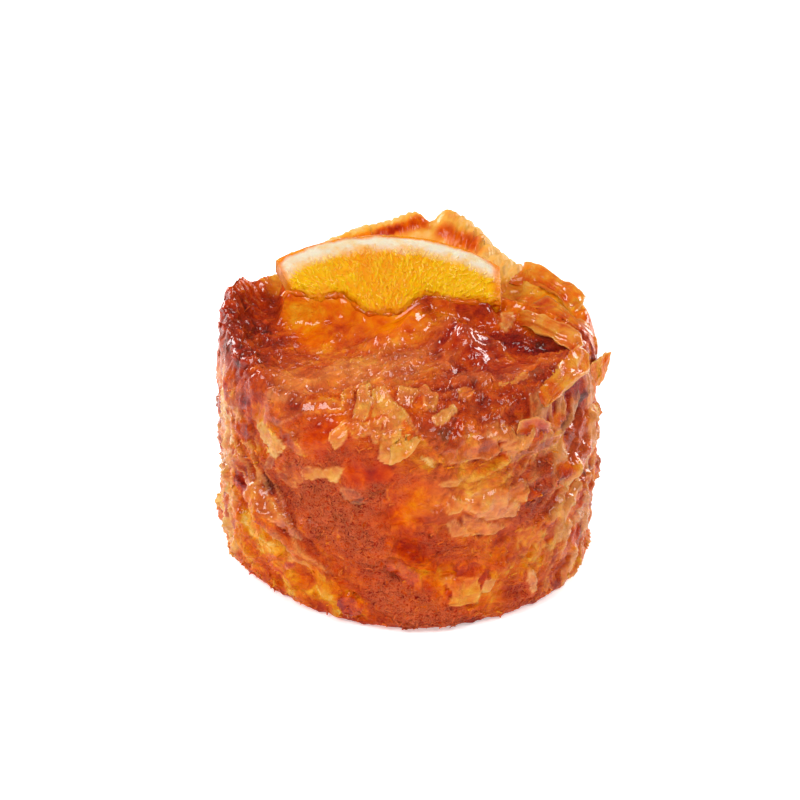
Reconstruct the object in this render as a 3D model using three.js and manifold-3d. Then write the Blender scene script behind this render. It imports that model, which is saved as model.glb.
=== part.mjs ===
// An individual orange pie: a drum of crumpled filo, baked brown and soaked in syrup, with a thick
// piece of candied orange slice pressed into its top.
// Millimetres, +Z up. The origin is the middle of the flat base, and -Y is the front.

import * as THREE from "three";
import { ImprovedNoise } from "three/addons/math/ImprovedNoise.js";
import { mergeGeometries, mergeVertices } from "three/addons/utils/BufferGeometryUtils.js";
import Module from "manifold-3d";

// Driving sizes of the pastry drum
const WALL_RADIUS = 41;
const RIM_HEIGHT = 48; // where the wall has turned into the top
const BASE_ROUND = 4;
const RIM_ROUND = 8;
const DOME_RISE = 6; // middle of the top above the rim
const TURN_TO_TOP = { from: 0.1, to: 0.9 }; // how far up the skin faces where the wall becomes the top
const TOP_GRID = 26; // facets across the top; the wall has four times as many round it
const WALL_RINGS = 22; // from the edge of the base up to the edge of the top
const FACET_WANDER = 1.3; // how far a corner strays sideways, so that the facets don't lie in rows
const WANDER_SEED = 5;

// Relief of the pastry: a broad unevenness, crumples with sharp creases, and a ragged foot
const SWELL = { size: 26, depth: 1.3 };
const CRUMPLE = { size: 9, depth: 1.6 };
const CRINKLE = { size: 4.2, depth: 0.6 };
const CREASE_SHARPNESS = 2.2;
const FOOT_RAGGED = { size: 3.1, depth: 0.8 };
const FOOT_TUCK = { angle: -138, spread: 36, depth: 2.4, height: 15 }; // the foot draws in at the left front

// Driving sizes of the candied orange slice, in its own plane: u runs right and v up the slope
const ORANGE_RADIUS = 40;
const SLICE_WIDTH = 49;
const SLICE_DEPTH = 23.5; // from the lowest tip up to the crown of the peel
const SLICE_THICKNESS = 6;
const SLICE_TILT = 22.5; // degrees, the crown raised at the back
const SLICE_ROLL = 2; // degrees, the left end raised
const SLICE_PLACE = { x: -4.3, y: -1.9, z: 56 }; // the foot of the upper face
const SLICE_LEFT_TUCK = 2.6; // how far the left cut leans in at its foot
const SLICE_EDGE_ROUND = { share: 0.3, sides: 12, ends: 8 }; // thickness lost at the edge, and how tightly
const SLICE_PLUMPNESS = { size: 6, depth: 0.5 };
const SLICE_GRID = { across: 28, up: 9, through: 2 };
const SEAT_GAP = 0.3;
const SEAT_DEPTH = 2.4; // how far below the upper face the pastry comes up round the slice
// Over these the pastry slopes up to the slice's bed: under the slice at its sides, outside it elsewhere
const SEAT_MARGIN = { side: 3, front: 3.5, rear: 7 };

// The torn lower edge of the slice: a blunt tip left of the middle, and two shallower sags
const TORN_LEVEL = 7.4;
const TORN_TIP = { at: -1.3, blunt: 2.5, reach: 10, depth: 5.8 };
const TORN_RIGHT_SAG = { from: 8, to: 17, depth: 1.8 };
const TORN_LEFT_SAG = { at: -15, width: 4, depth: 1.4 };
const TORN_ROUGHNESS = { size: 3.7, depth: 1.1 };

// Folds of filo that stand up from the top: how wide each is, and its path as [x, y, rise]. They are the
// rear crest and its notch, the rear right fold, the ribbon and fold at the right, the pleats and the
// ridge at the front, and the burnt lip at the left. The last two are hollows.
const TOP_FOLDS = [
  { width: 9, path: [[-26, 24, 2], [-19, 29, 8], [-8, 32, 11], [4, 33, 15], [12, 31, 14.6], [25, 24, 1]] },
  { width: 2.2, path: [[4.6, 40, -3.5], [5.2, 33, -3], [5.6, 26, 0]] },
  { width: 4, path: [[20, 26, 0], [28, 26, 5], [36, 18, 8], [40.5, 6, 9]] },
  { width: 2.6, path: [[19, 9, 2.5], [28, 4, 4.2], [38, -5, 4]] },
  { width: 3.6, path: [[37, -9, 5], [32, -19, 5.5], [27, -27, 4], [19, -33, 1.5]] },
  { width: 2.2, path: [[9, -2, 2], [13, -10, 2.8], [14, -18, 0.6]] },
  { width: 2.2, path: [[3, 2, 2.2], [-1, -6, 2.2], [-3, -14, 0.8]] },
  { width: 2.6, path: [[-33, -23, 1.5], [-20, -29, 2.4], [-6, -30, 3], [8, -32, 1.6]] },
  { width: 4.6, path: [[-32, 26, 7], [-38.5, 12, 12], [-39.5, -6, 9], [-32, -22, 4]] },
  { width: 6, path: [[-22, -6, -1.6], [-14, -9, -2.2], [-4, -12, -1]] },
  { width: 5, path: [[8, -17, -1], [16, -15, -2.4], [23, -10, -1.6]] },
];
const FOLD_SAMPLES = 40;

// Creases and ridges of the wall, each between two [angle, height]. Angles are degrees from +X, so that
// the front is at -90.
const WALL_CREASES = [
  { from: [-153, 32], to: [-112, 12], rise: 1.5, width: 2 },
  { from: [-160, 43], to: [-150, 30], rise: 1.2, width: 1.8 },
  { from: [-136, 24], to: [-142, 10], rise: 0.9, width: 2 },
  { from: [-132, 34], to: [-96, 27], rise: -1.2, width: 3.2 },
  { from: [-54, 30], to: [-6, 34], rise: 1.4, width: 1.8 },
  { from: [-48, 20], to: [-12, 27], rise: 1.3, width: 1.8 },
  { from: [-60, 38], to: [-20, 41], rise: -1, width: 3 },
  { from: [-100, 14], to: [-62, 16], rise: -0.9, width: 3.4 },
  { from: [25, 12], to: [64, 36], rise: 1.5, width: 2.2 },
  { from: [84, 40], to: [120, 18], rise: 1.4, width: 2.2 },
  { from: [128, 34], to: [170, 26], rise: 1.3, width: 2 },
  { from: [66, 10], to: [104, 15], rise: -1, width: 3.2 },
];
const CREASE_END = 0.06; // how nearly a crease dies away at its ends

// Torn flakes of filo that lie on the wall. place is the [angle, height] of the flake's middle, size its
// [width, length], turn the way its free end points, 0 being up, and lift how far that end stands off.
const FLAKE_THICKNESS = 0.8;
const FLAKE_PROUD = 0.7; // how far a flake lies outside the drum
const FLAKE_ROOT = 2.4; // how deep its fixed end reaches in
const FLAKE_GRID = { across: 4, along: 5 };
const FLAKE_TEAR = { size: 0.8, share: 0.55 }; // the wandering of its torn outline
const FLAKE_TAPER = 0.45; // share of the width lost at the free end
const FLAKES = [
  { place: [-4, 42], size: [8, 12], turn: -8, lift: 5 },
  { place: [-38, 45], size: [10, 15], turn: 155, lift: 1.4 },
  { place: [-97, 46], size: [14, 12], turn: 184, lift: 1.2 },
  { place: [-90, 43], size: [7, 9], turn: 150, lift: 1.8 },
  { place: [-74, 45], size: [11, 9], turn: 205, lift: 0.8 },
  { place: [-134, 40], size: [9, 8], turn: 120, lift: 1 },
  { place: [-118, 36.5], size: [6, 13], turn: 92, lift: 0.7 },
  { place: [-66, 27], size: [13, 18], turn: 100, lift: 0.6 },
  { place: [-28, 25], size: [10, 9], turn: 40, lift: 1 },
  { place: [24, 40], size: [10, 11], turn: 170, lift: 1.4 },
  { place: [52, 30], size: [14, 11], turn: -20, lift: 0.9 },
  { place: [78, 43], size: [11, 10], turn: 196, lift: 1.5 },
  { place: [104, 28], size: [13, 15], turn: 80, lift: 0.8 },
  { place: [132, 42], size: [10, 11], turn: 160, lift: 1.6 },
  { place: [158, 22], size: [11, 13], turn: 108, lift: 0.8 },
  { place: [-176, 34], size: [9, 11], turn: 30, lift: 0.2 },
];

const FILO = { color: "#c65c1e", roughness: 0.32, metalness: 0 };
const CANDIED_ORANGE = { color: "#eba90f", roughness: 0.3, metalness: 0 };

const { degToRad, clamp, lerp, smoothstep, euclideanModulo, seededRandom } = THREE.MathUtils;
const FULL_TURN = 2 * Math.PI;
const WELD = 0.01; // corners nearer than this are one corner
const noise = new ImprovedNoise();

const wasm = await Module();
wasm.setup();

// Smooth noise of about -1 to 1 whose hills are about size across
function hills(p, size) {
  return noise.noise(p.x / size, p.y / size, p.z / size);
}

// Crumpled sheet: half along sharp creases, falling to minus a half in the hollows between them
function creases(p, size) {
  return 0.5 - Math.min(1, CREASE_SHARPNESS * Math.abs(hills(p, size)));
}

function bell(distance, width) {
  return Math.exp(-((distance / width) ** 2));
}

// The angle in radians from one direction round to another, between minus and plus half a turn
function apart(degrees, angle) {
  return euclideanModulo(degToRad(degrees) - angle + Math.PI, FULL_TURN) - Math.PI;
}

// Moves every corner of a geometry to where the function puts it
function reshape(geometry, place) {
  const position = geometry.getAttribute("position");
  const p = new THREE.Vector3();
  for (let i = 0; i < position.count; i++) {
    p.fromBufferAttribute(position, i);
    place(p, i);
    position.setXYZ(i, p.x, p.y, p.z);
  }
  return geometry;
}

// A geometry without seams: corners that meet are one, and no facet is left without area
function welded(geometry) {
  const bare = geometry.clone();
  bare.deleteAttribute("normal");
  bare.deleteAttribute("uv");
  const merged = mergeVertices(bare, WELD);
  const corners = merged.index.array;
  const kept = [];
  for (let i = 0; i < corners.length; i += 3) {
    const [a, b, c] = corners.slice(i, i + 3);
    if (a !== b && b !== c && c !== a) kept.push(a, b, c);
  }
  merged.setIndex(kept);
  merged.computeVertexNormals();
  return merged;
}

// A closed geometry as a solid that can be joined and cut
function solidOf(geometry) {
  const closed = welded(geometry);
  const vertProperties = new Float32Array(closed.getAttribute("position").array);
  const triVerts = new Uint32Array(closed.index.array);
  return new wasm.Manifold(new wasm.Mesh({ numProp: 3, vertProperties, triVerts }));
}

// The largest body of a solid as a three.js geometry
function geometryOf(solid) {
  const largest = solid.decompose().reduce((a, b) => (b.volume() > a.volume() ? b : a));
  const mesh = largest.getMesh();
  const geometry = new THREE.BufferGeometry();
  geometry.setAttribute("position", new THREE.BufferAttribute(mesh.vertProperties, 3));
  geometry.setIndex(new THREE.BufferAttribute(mesh.triVerts, 1));
  geometry.computeVertexNormals();
  return geometry;
}

const folds = TOP_FOLDS.map(({ path, width }) => {
  const spine = new THREE.CatmullRomCurve3(path.map((p) => new THREE.Vector3(...p)));
  return { width, samples: spine.getPoints(FOLD_SAMPLES) };
});

// Rise of one standing fold over the point (x, y) of the top
function foldRise({ samples, width }, x, y) {
  let nearest = Infinity;
  let rise = 0;
  for (const s of samples) {
    const distance = Math.hypot(x - s.x, y - s.y);
    if (distance < nearest) {
      nearest = distance;
      rise = s.z;
    }
  }
  return rise * bell(nearest, width);
}

// Rise of one crease of the wall, from distances on the unrolled wall
function creaseRise({ from, to, rise, width }, angle, z) {
  const unrolled = ([degrees, height]) => new THREE.Vector2(apart(degrees, angle) * WALL_RADIUS, height - z);
  const start = unrolled(from);
  const run = unrolled(to).sub(start);
  const along = clamp(-start.dot(run) / run.lengthSq(), 0, 1);
  const distance = start.addScaledVector(run, along).length();
  return rise * bell(distance, width) * Math.sin(Math.PI * lerp(CREASE_END, 1 - CREASE_END, along)) ** 0.5;
}

// The slice's plane: from its (u, v, w) to the pie's frame, w being square to the upper face
const slicePlacement = new THREE.Object3D();
slicePlacement.position.copy(SLICE_PLACE);
slicePlacement.rotation.set(degToRad(SLICE_TILT), degToRad(SLICE_ROLL), 0);
slicePlacement.updateMatrix();

// How far up the slope the peel's round edge runs at u
function peelEdge(u) {
  return SLICE_DEPTH - ORANGE_RADIUS + Math.sqrt(ORANGE_RADIUS ** 2 - u ** 2);
}

function tornEdge(u) {
  const { at, blunt, reach, depth } = TORN_TIP;
  const tip = depth * (1 - smoothstep(Math.abs(u - at), blunt, reach));
  const rightSag = TORN_RIGHT_SAG.depth * smoothstep(u, TORN_RIGHT_SAG.from, TORN_RIGHT_SAG.to);
  const leftSag = TORN_LEFT_SAG.depth * bell(u - TORN_LEFT_SAG.at, TORN_LEFT_SAG.width);
  return TORN_LEVEL - tip - rightSag - leftSag;
}

// The candied slice as a box whose grid is laid on the slice's outline, grown on all sides by grow
function sliceGeometry(grow) {
  const { across, up, through } = SLICE_GRID;
  const half = SLICE_WIDTH / 2;
  return reshape(new THREE.BoxGeometry(2, 2, 2, across, up, through), (p) => {
    const rise = (p.y + 1) / 2;
    const u = half * p.x + SLICE_LEFT_TUCK * Math.max(0, -p.x) * (1 - rise);
    const w = (SLICE_THICKNESS / 2) * p.z;
    const rough = TORN_ROUGHNESS.depth * hills({ x: u, y: w, z: w }, TORN_ROUGHNESS.size);
    const v = lerp(tornEdge(u) + rough - grow, peelEdge(half * p.x) + grow, rise);
    const { share, sides, ends } = SLICE_EDGE_ROUND;
    const rounding = 1 - share * Math.max(p.x ** sides, p.y ** ends);
    const plump = SLICE_PLUMPNESS.depth * hills({ x: u, y: v, z: w }, SLICE_PLUMPNESS.size);
    p.set(u + grow * p.x, v, w * rounding + (plump + grow) * p.z - SLICE_THICKNESS / 2);
  });
}

// Height of the slice's bed at (x, y), so far up that cutting the slice out leaves a full seat
function bedHeight(x, y) {
  const upSlope = Math.tan(degToRad(SLICE_TILT)) * (y - SLICE_PLACE.y);
  const downRoll = Math.tan(degToRad(SLICE_ROLL)) * (x - SLICE_PLACE.x);
  return SLICE_PLACE.z + upSlope - downRoll - SEAT_DEPTH;
}

// 1 in the middle of the slice's footprint, falling to 0 over the seat's margins
function bedShare(x, y) {
  const half = SLICE_WIDTH / 2;
  const u = x - SLICE_PLACE.x;
  const v = (y - SLICE_PLACE.y) / Math.cos(degToRad(SLICE_TILT));
  const within = clamp(u, -half, half);
  const outside = Math.max(
    (Math.abs(u) - half) / SEAT_MARGIN.side + 1,
    (tornEdge(within) - v) / SEAT_MARGIN.front,
    (v - peelEdge(within)) / SEAT_MARGIN.rear,
  );
  return 1 - smoothstep(outside, 0, 1);
}

// How far the crumpled filo of the wall and top stands outside the plain drum
function sheetRelief(p) {
  return (
    SWELL.depth * hills(p, SWELL.size) +
    CRUMPLE.depth * creases(p, CRUMPLE.size) +
    CRINKLE.depth * creases(p, CRINKLE.size)
  );
}

// Lays the relief on one corner of the plain drum, whose outward direction is given
function crumple(p, outward) {
  const radius = Math.hypot(p.x, p.y);
  const angle = Math.atan2(p.y, p.x);
  const onTop = smoothstep(outward.z, TURN_TO_TOP.from, TURN_TO_TOP.to);
  const onWall = 1 - Math.abs(outward.z);
  const lifted = smoothstep(p.z, 0, BASE_ROUND);
  const creased = onWall * WALL_CREASES.reduce((sum, c) => sum + creaseRise(c, angle, p.z), 0);
  const tuck = FOOT_TUCK.depth * bell(apart(FOOT_TUCK.angle, angle), degToRad(FOOT_TUCK.spread));
  const ragged = FOOT_RAGGED.depth * hills(p, FOOT_RAGGED.size) * (1 - lifted);
  const foot = (ragged - tuck * (1 - smoothstep(p.z, 0, FOOT_TUCK.height))) * (radius / WALL_RADIUS);
  const dome = DOME_RISE * (1 - (radius / WALL_RADIUS) ** 2);
  const standing = folds.reduce((sum, fold) => sum + foldRise(fold, p.x, p.y), 0);
  const bed = bedShare(p.x, p.y) * onTop;
  const bedTop = bedHeight(p.x, p.y);

  p.addScaledVector(outward, (sheetRelief(p) + creased) * lifted);
  p.x += foot * Math.cos(angle);
  p.y += foot * Math.sin(angle);
  p.z = lerp(p.z + (dome + standing) * onTop, bedTop, bed);
}

// A square of side 2 pressed round into a disc, keeping its grid's corners evenly spaced round the edge
function discGeometry(radius, height) {
  return reshape(new THREE.PlaneGeometry(2, 2, TOP_GRID, TOP_GRID), (p) => {
    const wide = Math.abs(p.x) > Math.abs(p.y);
    const reach = wide ? p.x : p.y;
    const share = reach === 0 ? 0 : (Math.PI / 4) * ((wide ? p.y : p.x) / reach);
    const angle = wide ? share : Math.PI / 2 - share;
    p.set(radius * reach * Math.cos(angle), radius * reach * Math.sin(angle), height);
  });
}

// The plain drum, its wall and base turned and its top a disc, then crumpled corner by corner
function drumGeometry() {
  const profile = new THREE.Path();
  profile.moveTo(WALL_RADIUS - BASE_ROUND, 0);
  profile.quadraticCurveTo(WALL_RADIUS, 0, WALL_RADIUS, BASE_ROUND);
  profile.lineTo(WALL_RADIUS, RIM_HEIGHT - RIM_ROUND);
  profile.quadraticCurveTo(WALL_RADIUS, RIM_HEIGHT, WALL_RADIUS - RIM_ROUND, RIM_HEIGHT);
  const outline = [new THREE.Vector2(0, 0), ...profile.getSpacedPoints(WALL_RINGS)];
  const wall = new THREE.LatheGeometry(outline, 4 * TOP_GRID).rotateX(Math.PI / 2);
  const top = discGeometry(WALL_RADIUS - RIM_ROUND, RIM_HEIGHT);
  const drum = welded(mergeGeometries([wall, top]));
  const normal = drum.getAttribute("normal");
  const outward = new THREE.Vector3();
  const stray = new THREE.Vector3();
  seededRandom(WANDER_SEED);
  return reshape(drum, (p, i) => {
    outward.fromBufferAttribute(normal, i);
    stray.set(seededRandom() - 0.5, seededRandom() - 0.5, seededRandom() - 0.5);
    stray.addScaledVector(outward, -stray.dot(outward));
    p.addScaledVector(stray, FACET_WANDER * smoothstep(p.z, 0, BASE_ROUND));
    crumple(p, outward);
  });
}

// Radius of the plain drum at a height, where the wall turns in to the top
function wallRadius(z) {
  const turned = clamp((z - RIM_HEIGHT) / RIM_ROUND + 1, 0, 1);
  return WALL_RADIUS - RIM_ROUND * (1 - Math.sqrt(1 - turned ** 2));
}

// One torn flake: a thin sheet with a wandering outline, rooted in the wall and lifting at its free end
function flakeGeometry({ place, size, turn, lift }, index) {
  const [angle, height] = place;
  const [width, length] = size;
  const heading = degToRad(turn);
  const box = new THREE.BoxGeometry(2, 2, 2, FLAKE_GRID.across, FLAKE_GRID.along, 1);
  return reshape(box, (p) => {
    const torn = hills({ x: p.x, y: p.y, z: index + 0.5 }, FLAKE_TEAR.size);
    const free = (p.y + 1) / 2;
    const across = (width / 2) * p.x * (1 - FLAKE_TAPER * free ** 2) * (1 + FLAKE_TEAR.share * torn);
    const along = (length / 2) * p.y * (1 + FLAKE_TEAR.share * torn);
    const sideways = across * Math.cos(heading) - along * Math.sin(heading);
    const z = height + across * Math.sin(heading) + along * Math.cos(heading);
    const outer = FLAKE_PROUD + lift * free ** 2;
    const inner = lerp(-FLAKE_ROOT, outer - FLAKE_THICKNESS, free ** 0.5);
    const standOff = p.z > 0 ? outer : inner;
    const round = degToRad(angle) + sideways / WALL_RADIUS;
    p.set(wallRadius(z) * Math.cos(round), wallRadius(z) * Math.sin(round), z);
    const reach = 1 + (standOff + sheetRelief(p)) / WALL_RADIUS;
    p.set(p.x * reach, p.y * reach, z);
  });
}

// The crumpled drum with its flakes fused on and the slice's seat cut out
function filoPie() {
  const flakes = FLAKES.map((flake, index) => solidOf(flakeGeometry(flake, index)));
  const fused = flakes.reduce((body, flake) => body.add(flake), solidOf(drumGeometry()));
  const seat = solidOf(sliceGeometry(SEAT_GAP).applyMatrix4(slicePlacement.matrix));
  const mesh = new THREE.Mesh(geometryOf(fused.subtract(seat)), new THREE.MeshStandardMaterial(FILO));
  mesh.name = "filo_pie";
  return mesh;
}

function candiedSlice() {
  const mesh = new THREE.Mesh(sliceGeometry(0), new THREE.MeshStandardMaterial(CANDIED_ORANGE));
  mesh.name = "orange_slice";
  mesh.position.copy(slicePlacement.position);
  mesh.rotation.copy(slicePlacement.rotation);
  return mesh;
}

const pie = new THREE.Group();
pie.add(filoPie(), candiedSlice());

export default pie;
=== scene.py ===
"""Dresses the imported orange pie: crumpled filo soaked in syrup, under a piece of candied orange slice.

The classes work in millimetres and the meshes are in metres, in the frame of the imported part: +Z is up and
the front looks along -Y.
"""

import logging
import math
from dataclasses import dataclass
from enum import Enum

import bpy
import numpy as np
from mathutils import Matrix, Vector
from mathutils.bvhtree import BVHTree


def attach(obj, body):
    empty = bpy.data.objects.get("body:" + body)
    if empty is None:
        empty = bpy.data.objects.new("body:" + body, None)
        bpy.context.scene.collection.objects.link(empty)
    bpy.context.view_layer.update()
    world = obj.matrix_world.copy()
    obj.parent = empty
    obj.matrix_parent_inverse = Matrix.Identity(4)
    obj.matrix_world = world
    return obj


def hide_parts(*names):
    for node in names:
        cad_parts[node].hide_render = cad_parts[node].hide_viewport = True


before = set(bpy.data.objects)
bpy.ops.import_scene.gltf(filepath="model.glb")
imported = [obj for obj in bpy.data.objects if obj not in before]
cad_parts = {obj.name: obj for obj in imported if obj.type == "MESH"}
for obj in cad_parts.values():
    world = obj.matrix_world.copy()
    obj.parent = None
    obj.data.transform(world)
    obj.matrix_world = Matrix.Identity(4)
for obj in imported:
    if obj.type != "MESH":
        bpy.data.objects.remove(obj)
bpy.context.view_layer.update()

LOG = logging.getLogger("orange_pie")
MM = 0.001
HALF_TURN = math.pi
FULL_TURN = 2 * math.pi
TINY = 1e-9
LEAST_BAKE = 0.02
BODY = "root"

Array = np.ndarray
Socket = bpy.types.NodeSocket
Piece = bpy.types.Object
Pair = tuple[float, float]
Triple = tuple[float, float, float]
Colour = tuple[float, float, float, float]
Faces = list[list[int]]
WHITE: Colour = (1, 1, 1, 1)


def linear(code: str) -> Colour:
    """Turns a colour code into the linear colour that shaders use.

    Args:
        code: Six hexadecimal digits, red first.

    Returns:
        Linear red, green and blue, and an alpha of 1.
    """
    parts = [int(code[i:i + 2], 16) / 255 for i in (0, 2, 4)]
    red, green, blue = (p / 12.92 if p <= 0.04045 else ((p + 0.055) / 1.055) ** 2.4 for p in parts)
    return red, green, blue, 1.0


def smoothstep(value: Array, low: float, high: float) -> Array:
    """Rises smoothly from 0 at low to 1 at high."""
    t = np.clip((value - low) / (high - low), 0, 1)
    return t * t * (3 - 2 * t)


def bell(distance: Array, width: float) -> Array:
    """Falls from 1 at no distance towards 0 beyond the width."""
    return np.exp(-((distance / width) ** 2))


def lerp(start: Array, end: Array, share: Array) -> Array:
    """Goes from start to end by a share of 0 to 1."""
    return start + (end - start) * share


def turn_between(degrees: float, angle: Array) -> Array:
    """Gives the turn in radians from angles to a heading, within half a turn either way."""
    return (math.radians(degrees) - angle + HALF_TURN) % FULL_TURN - HALF_TURN


def catmull_rom(points: Array, count: int) -> Array:
    """Samples a smooth curve through points.

    Args:
        points: Control points along the first axis.
        count: How many samples the curve gets.

    Returns:
        The samples along the first axis.
    """
    padded = np.concatenate([2 * points[:1] - points[1:2], points, 2 * points[-1:] - points[-2:-1]])
    along = np.linspace(0, len(points) - 1, count)
    part = np.minimum(along.astype(int), len(points) - 2)
    t = (along - part).reshape(-1, *[1] * (points.ndim - 1))
    p0, p1, p2, p3 = (padded[part + k] for k in range(4))
    return 0.5 * (2 * p1 + (p2 - p0) * t + (2 * p0 - 5 * p1 + 4 * p2 - p3) * t ** 2
                  + (3 * p1 - p0 - 3 * p2 + p3) * t ** 3)


def unit(vectors: Array) -> Array:
    """Brings vectors to a length of 1."""
    return vectors / np.maximum(np.linalg.norm(vectors, axis=-1, keepdims=True), TINY)


def loop_facing(corners: Array) -> Array:
    """Gives the way that a loop of corners round the origin faces."""
    return unit(np.sum(np.cross(corners, np.roll(corners, -1, axis=0)), axis=0))


def grid_quads(index: Array) -> Array:
    """Joins a grid of numbered corners into quads."""
    quads = np.stack([index[:-1, :-1], index[1:, :-1], index[1:, 1:], index[:-1, 1:]], axis=-1)
    return quads.reshape(-1, 4)


def corner_normals(points: Array, quads: Array) -> Array:
    """Gives the way each corner of a mesh of quads faces.

    Args:
        points: The mesh's corners.
        quads: Its faces, four corners each.

    Returns:
        A vector of length 1 for each corner.
    """
    a, b, c, d = (points[quads[:, k]] for k in range(4))
    facing = np.cross(c - a, d - b)
    total = np.zeros_like(points)
    for k in range(4):
        np.add.at(total, quads[:, k], facing)
    return unit(total)


def depth_inside(x: Array, y: Array, corners: Array) -> Array:
    """Measures how deep places lie inside a polygon.

    Args:
        x: The places' first coordinates.
        y: Their second coordinates.
        corners: The polygon's corners in order.

    Returns:
        The distance to the polygon's edge, negative outside it.
    """
    nearest = np.full(len(x), np.inf)
    inside = np.zeros(len(x), dtype=bool)
    for (ax, ay), (bx, by) in zip(corners, np.roll(corners, -1, axis=0)):
        run_x, run_y = bx - ax, by - ay
        share = np.clip(((x - ax) * run_x + (y - ay) * run_y) / (run_x ** 2 + run_y ** 2 + TINY), 0, 1)
        nearest = np.minimum(nearest, np.hypot(x - ax - share * run_x, y - ay - share * run_y))
        crossing = ax + run_x * (y - ay) / (run_y + TINY)
        inside ^= ((ay > y) != (by > y)) & (x < crossing)
    return np.where(inside, nearest, -nearest)


def square_to_disc(cells: int) -> tuple[Array, Array]:
    """Presses a square grid round into a disc.

    Args:
        cells: How many cells the grid has across.

    Returns:
        How far out each grid corner is, from 0 to 1, and its angle.
    """
    a, b = np.meshgrid(*(np.linspace(-1, 1, cells + 1),) * 2, indexing="ij")
    wide = np.abs(a) > np.abs(b)
    reach = np.where(wide, a, b)
    share = HALF_TURN / 4 * np.where(wide, b, a) / np.where(reach == 0, 1, reach)
    angle = np.where(wide, share, HALF_TURN / 2 - share) + np.where(reach < 0, HALF_TURN, 0)
    return np.abs(reach), angle % FULL_TURN


def ragged_turns(rng: np.random.Generator, sides: int, stray: float = 0.35) -> Array:
    """Draws the angles of a torn outline's corners, which stray by a share of one side."""
    return FULL_TURN * (np.arange(sides) + rng.uniform(-stray, stray, sides)) / sides


def close_by(away: Array, facing: Array, depth: float, reach: float) -> Array:
    """Gives the numbers of the places near a flat leaf, from their way off its middle."""
    return np.flatnonzero((np.abs(away @ facing) < depth) & (np.sum(away ** 2, axis=1) < reach ** 2))


class Kind(Enum):
    """The kinds of noise that relief is made of."""

    HILLS = "hills"
    RIDGES = "ridges"
    LUMPS = "lumps"
    FACETS = "facets"


@dataclass(frozen=True)
class Layer:
    """One layer of relief: how deep and how wide it is, and how far its pattern is shifted."""

    kind: Kind
    depth: float
    size: float
    shift: float = 0.0


class Grain:
    """Seeded noise in three dimensions."""

    CELLS = 256
    LOUDNESS = 1.5
    SCATTER = 0.45
    OCTAVE_SHIFT = 17.3
    OCTAVE_FADE = 0.55

    def __init__(self, seed: int) -> None:
        """Draws the noise's shuffled cells and their directions.

        Args:
            seed: What the drawing starts from.
        """
        rng = np.random.default_rng(seed)
        self._order = rng.permutation(self.CELLS)
        self._slopes = unit(rng.normal(size=(self.CELLS, 3)))
        self._makers = {Kind.HILLS: self.hills, Kind.RIDGES: self.ridges, Kind.LUMPS: self.lumps,
                        Kind.FACETS: self.facets}

    def pile(self, points: Array, layers: tuple[Layer, ...]) -> Array:
        """Adds up layers of relief."""
        return sum(layer.depth * self._makers[layer.kind](points + layer.shift, layer.size)
                   for layer in layers)

    def _direction(self, cell: Array) -> Array:
        """Gives the direction drawn for each cell."""
        x, y, z, order = *(cell % self.CELLS).T, self._order
        return self._slopes[order[(order[(order[x] + y) % self.CELLS] + z) % self.CELLS]]

    def hills(self, points: Array, size: float) -> Array:
        """Makes smooth hills.

        Args:
            points: The places to give them at.
            size: About how wide a hill is.

        Returns:
            Heights of about -1 to 1.
        """
        scaled = points / size
        cell = np.floor(scaled).astype(int)
        inside = scaled - cell
        fade = inside ** 3 * (inside * (inside * 6 - 15) + 10)
        total = np.zeros(len(points))
        for corner in np.ndindex(2, 2, 2):
            step = np.array(corner)
            weight = np.prod(np.where(step == 1, fade, 1 - fade), axis=1)
            total += weight * np.sum(self._direction(cell + step) * (inside - step), axis=1)
        return self.LOUDNESS * total

    def ridges(self, points: Array, size: float, sharpness: float = 2.2) -> Array:
        """Gives a crumpled sheet: half along sharp creases, minus a half in the hollows."""
        return 0.5 - np.minimum(1, sharpness * np.abs(self.hills(points, size)))

    def lumps(self, points: Array, size: float) -> Array:
        """Gives round lumps that meet in sharp valleys, from 0 to about 1."""
        return np.minimum(1, 2 * np.abs(self.hills(points, size)))

    def clouds(self, points: Array, size: float, octaves: int = 4) -> Array:
        """Adds ever finer hills, each octave half as wide and a little over half as high."""
        return sum(self.OCTAVE_FADE ** k * self.hills(points + self.OCTAVE_SHIFT * k, size / 2 ** k)
                   for k in range(octaves))

    def facets(self, points: Array, size: float) -> Array:
        """Makes flat-sided dents that meet in straight creases, as crumpled paper has.

        Args:
            points: The places to give them at.
            size: About how wide a dent is.

        Returns:
            Heights round 0.
        """
        scaled = points / size
        cell = np.floor(scaled).astype(int)
        nearest = np.full(len(points), np.inf)
        for offset in np.ndindex(3, 3, 3):
            there = cell + np.array(offset) - 1
            seeds = there + 0.5 + self.SCATTER * self._direction(there)
            nearest = np.minimum(nearest, np.sum((scaled - seeds) ** 2, axis=1))
        return np.sqrt(nearest) - 0.5


class Side(Enum):
    """The part of the drum that a place is given on."""

    WALL = "wall"
    TOP = "top"


@dataclass(frozen=True)
class Spot:
    """A place on the drum: angle in degrees and height on the wall, or x and y on the top.

    lift is how far the place is off the drum's main form.
    """

    side: Side
    first: float
    second: float
    lift: float = 0.0


def wall(angle: float, height: float, lift: float = 0.0) -> Spot:
    """Names a place on the wall by its angle from +X and its height."""
    return Spot(Side.WALL, angle, height, lift)


def top(x: float, y: float, lift: float = 0.0) -> Spot:
    """Names a place on the top."""
    return Spot(Side.TOP, x, y, lift)


@dataclass(frozen=True)
class Fold:
    """A fold of filo that stands up from the top, along a path of (x, y, rise).

    softness is 1 for a fold as sharp as a roof and 2 for a round one.
    """

    width: float
    path: tuple[Triple, ...]
    softness: float = 2.0


@dataclass(frozen=True)
class Crease:
    """A raised or sunken line on the wall, between two (angle, height)."""

    start: Pair
    end: Pair
    rise: float
    width: float


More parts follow.
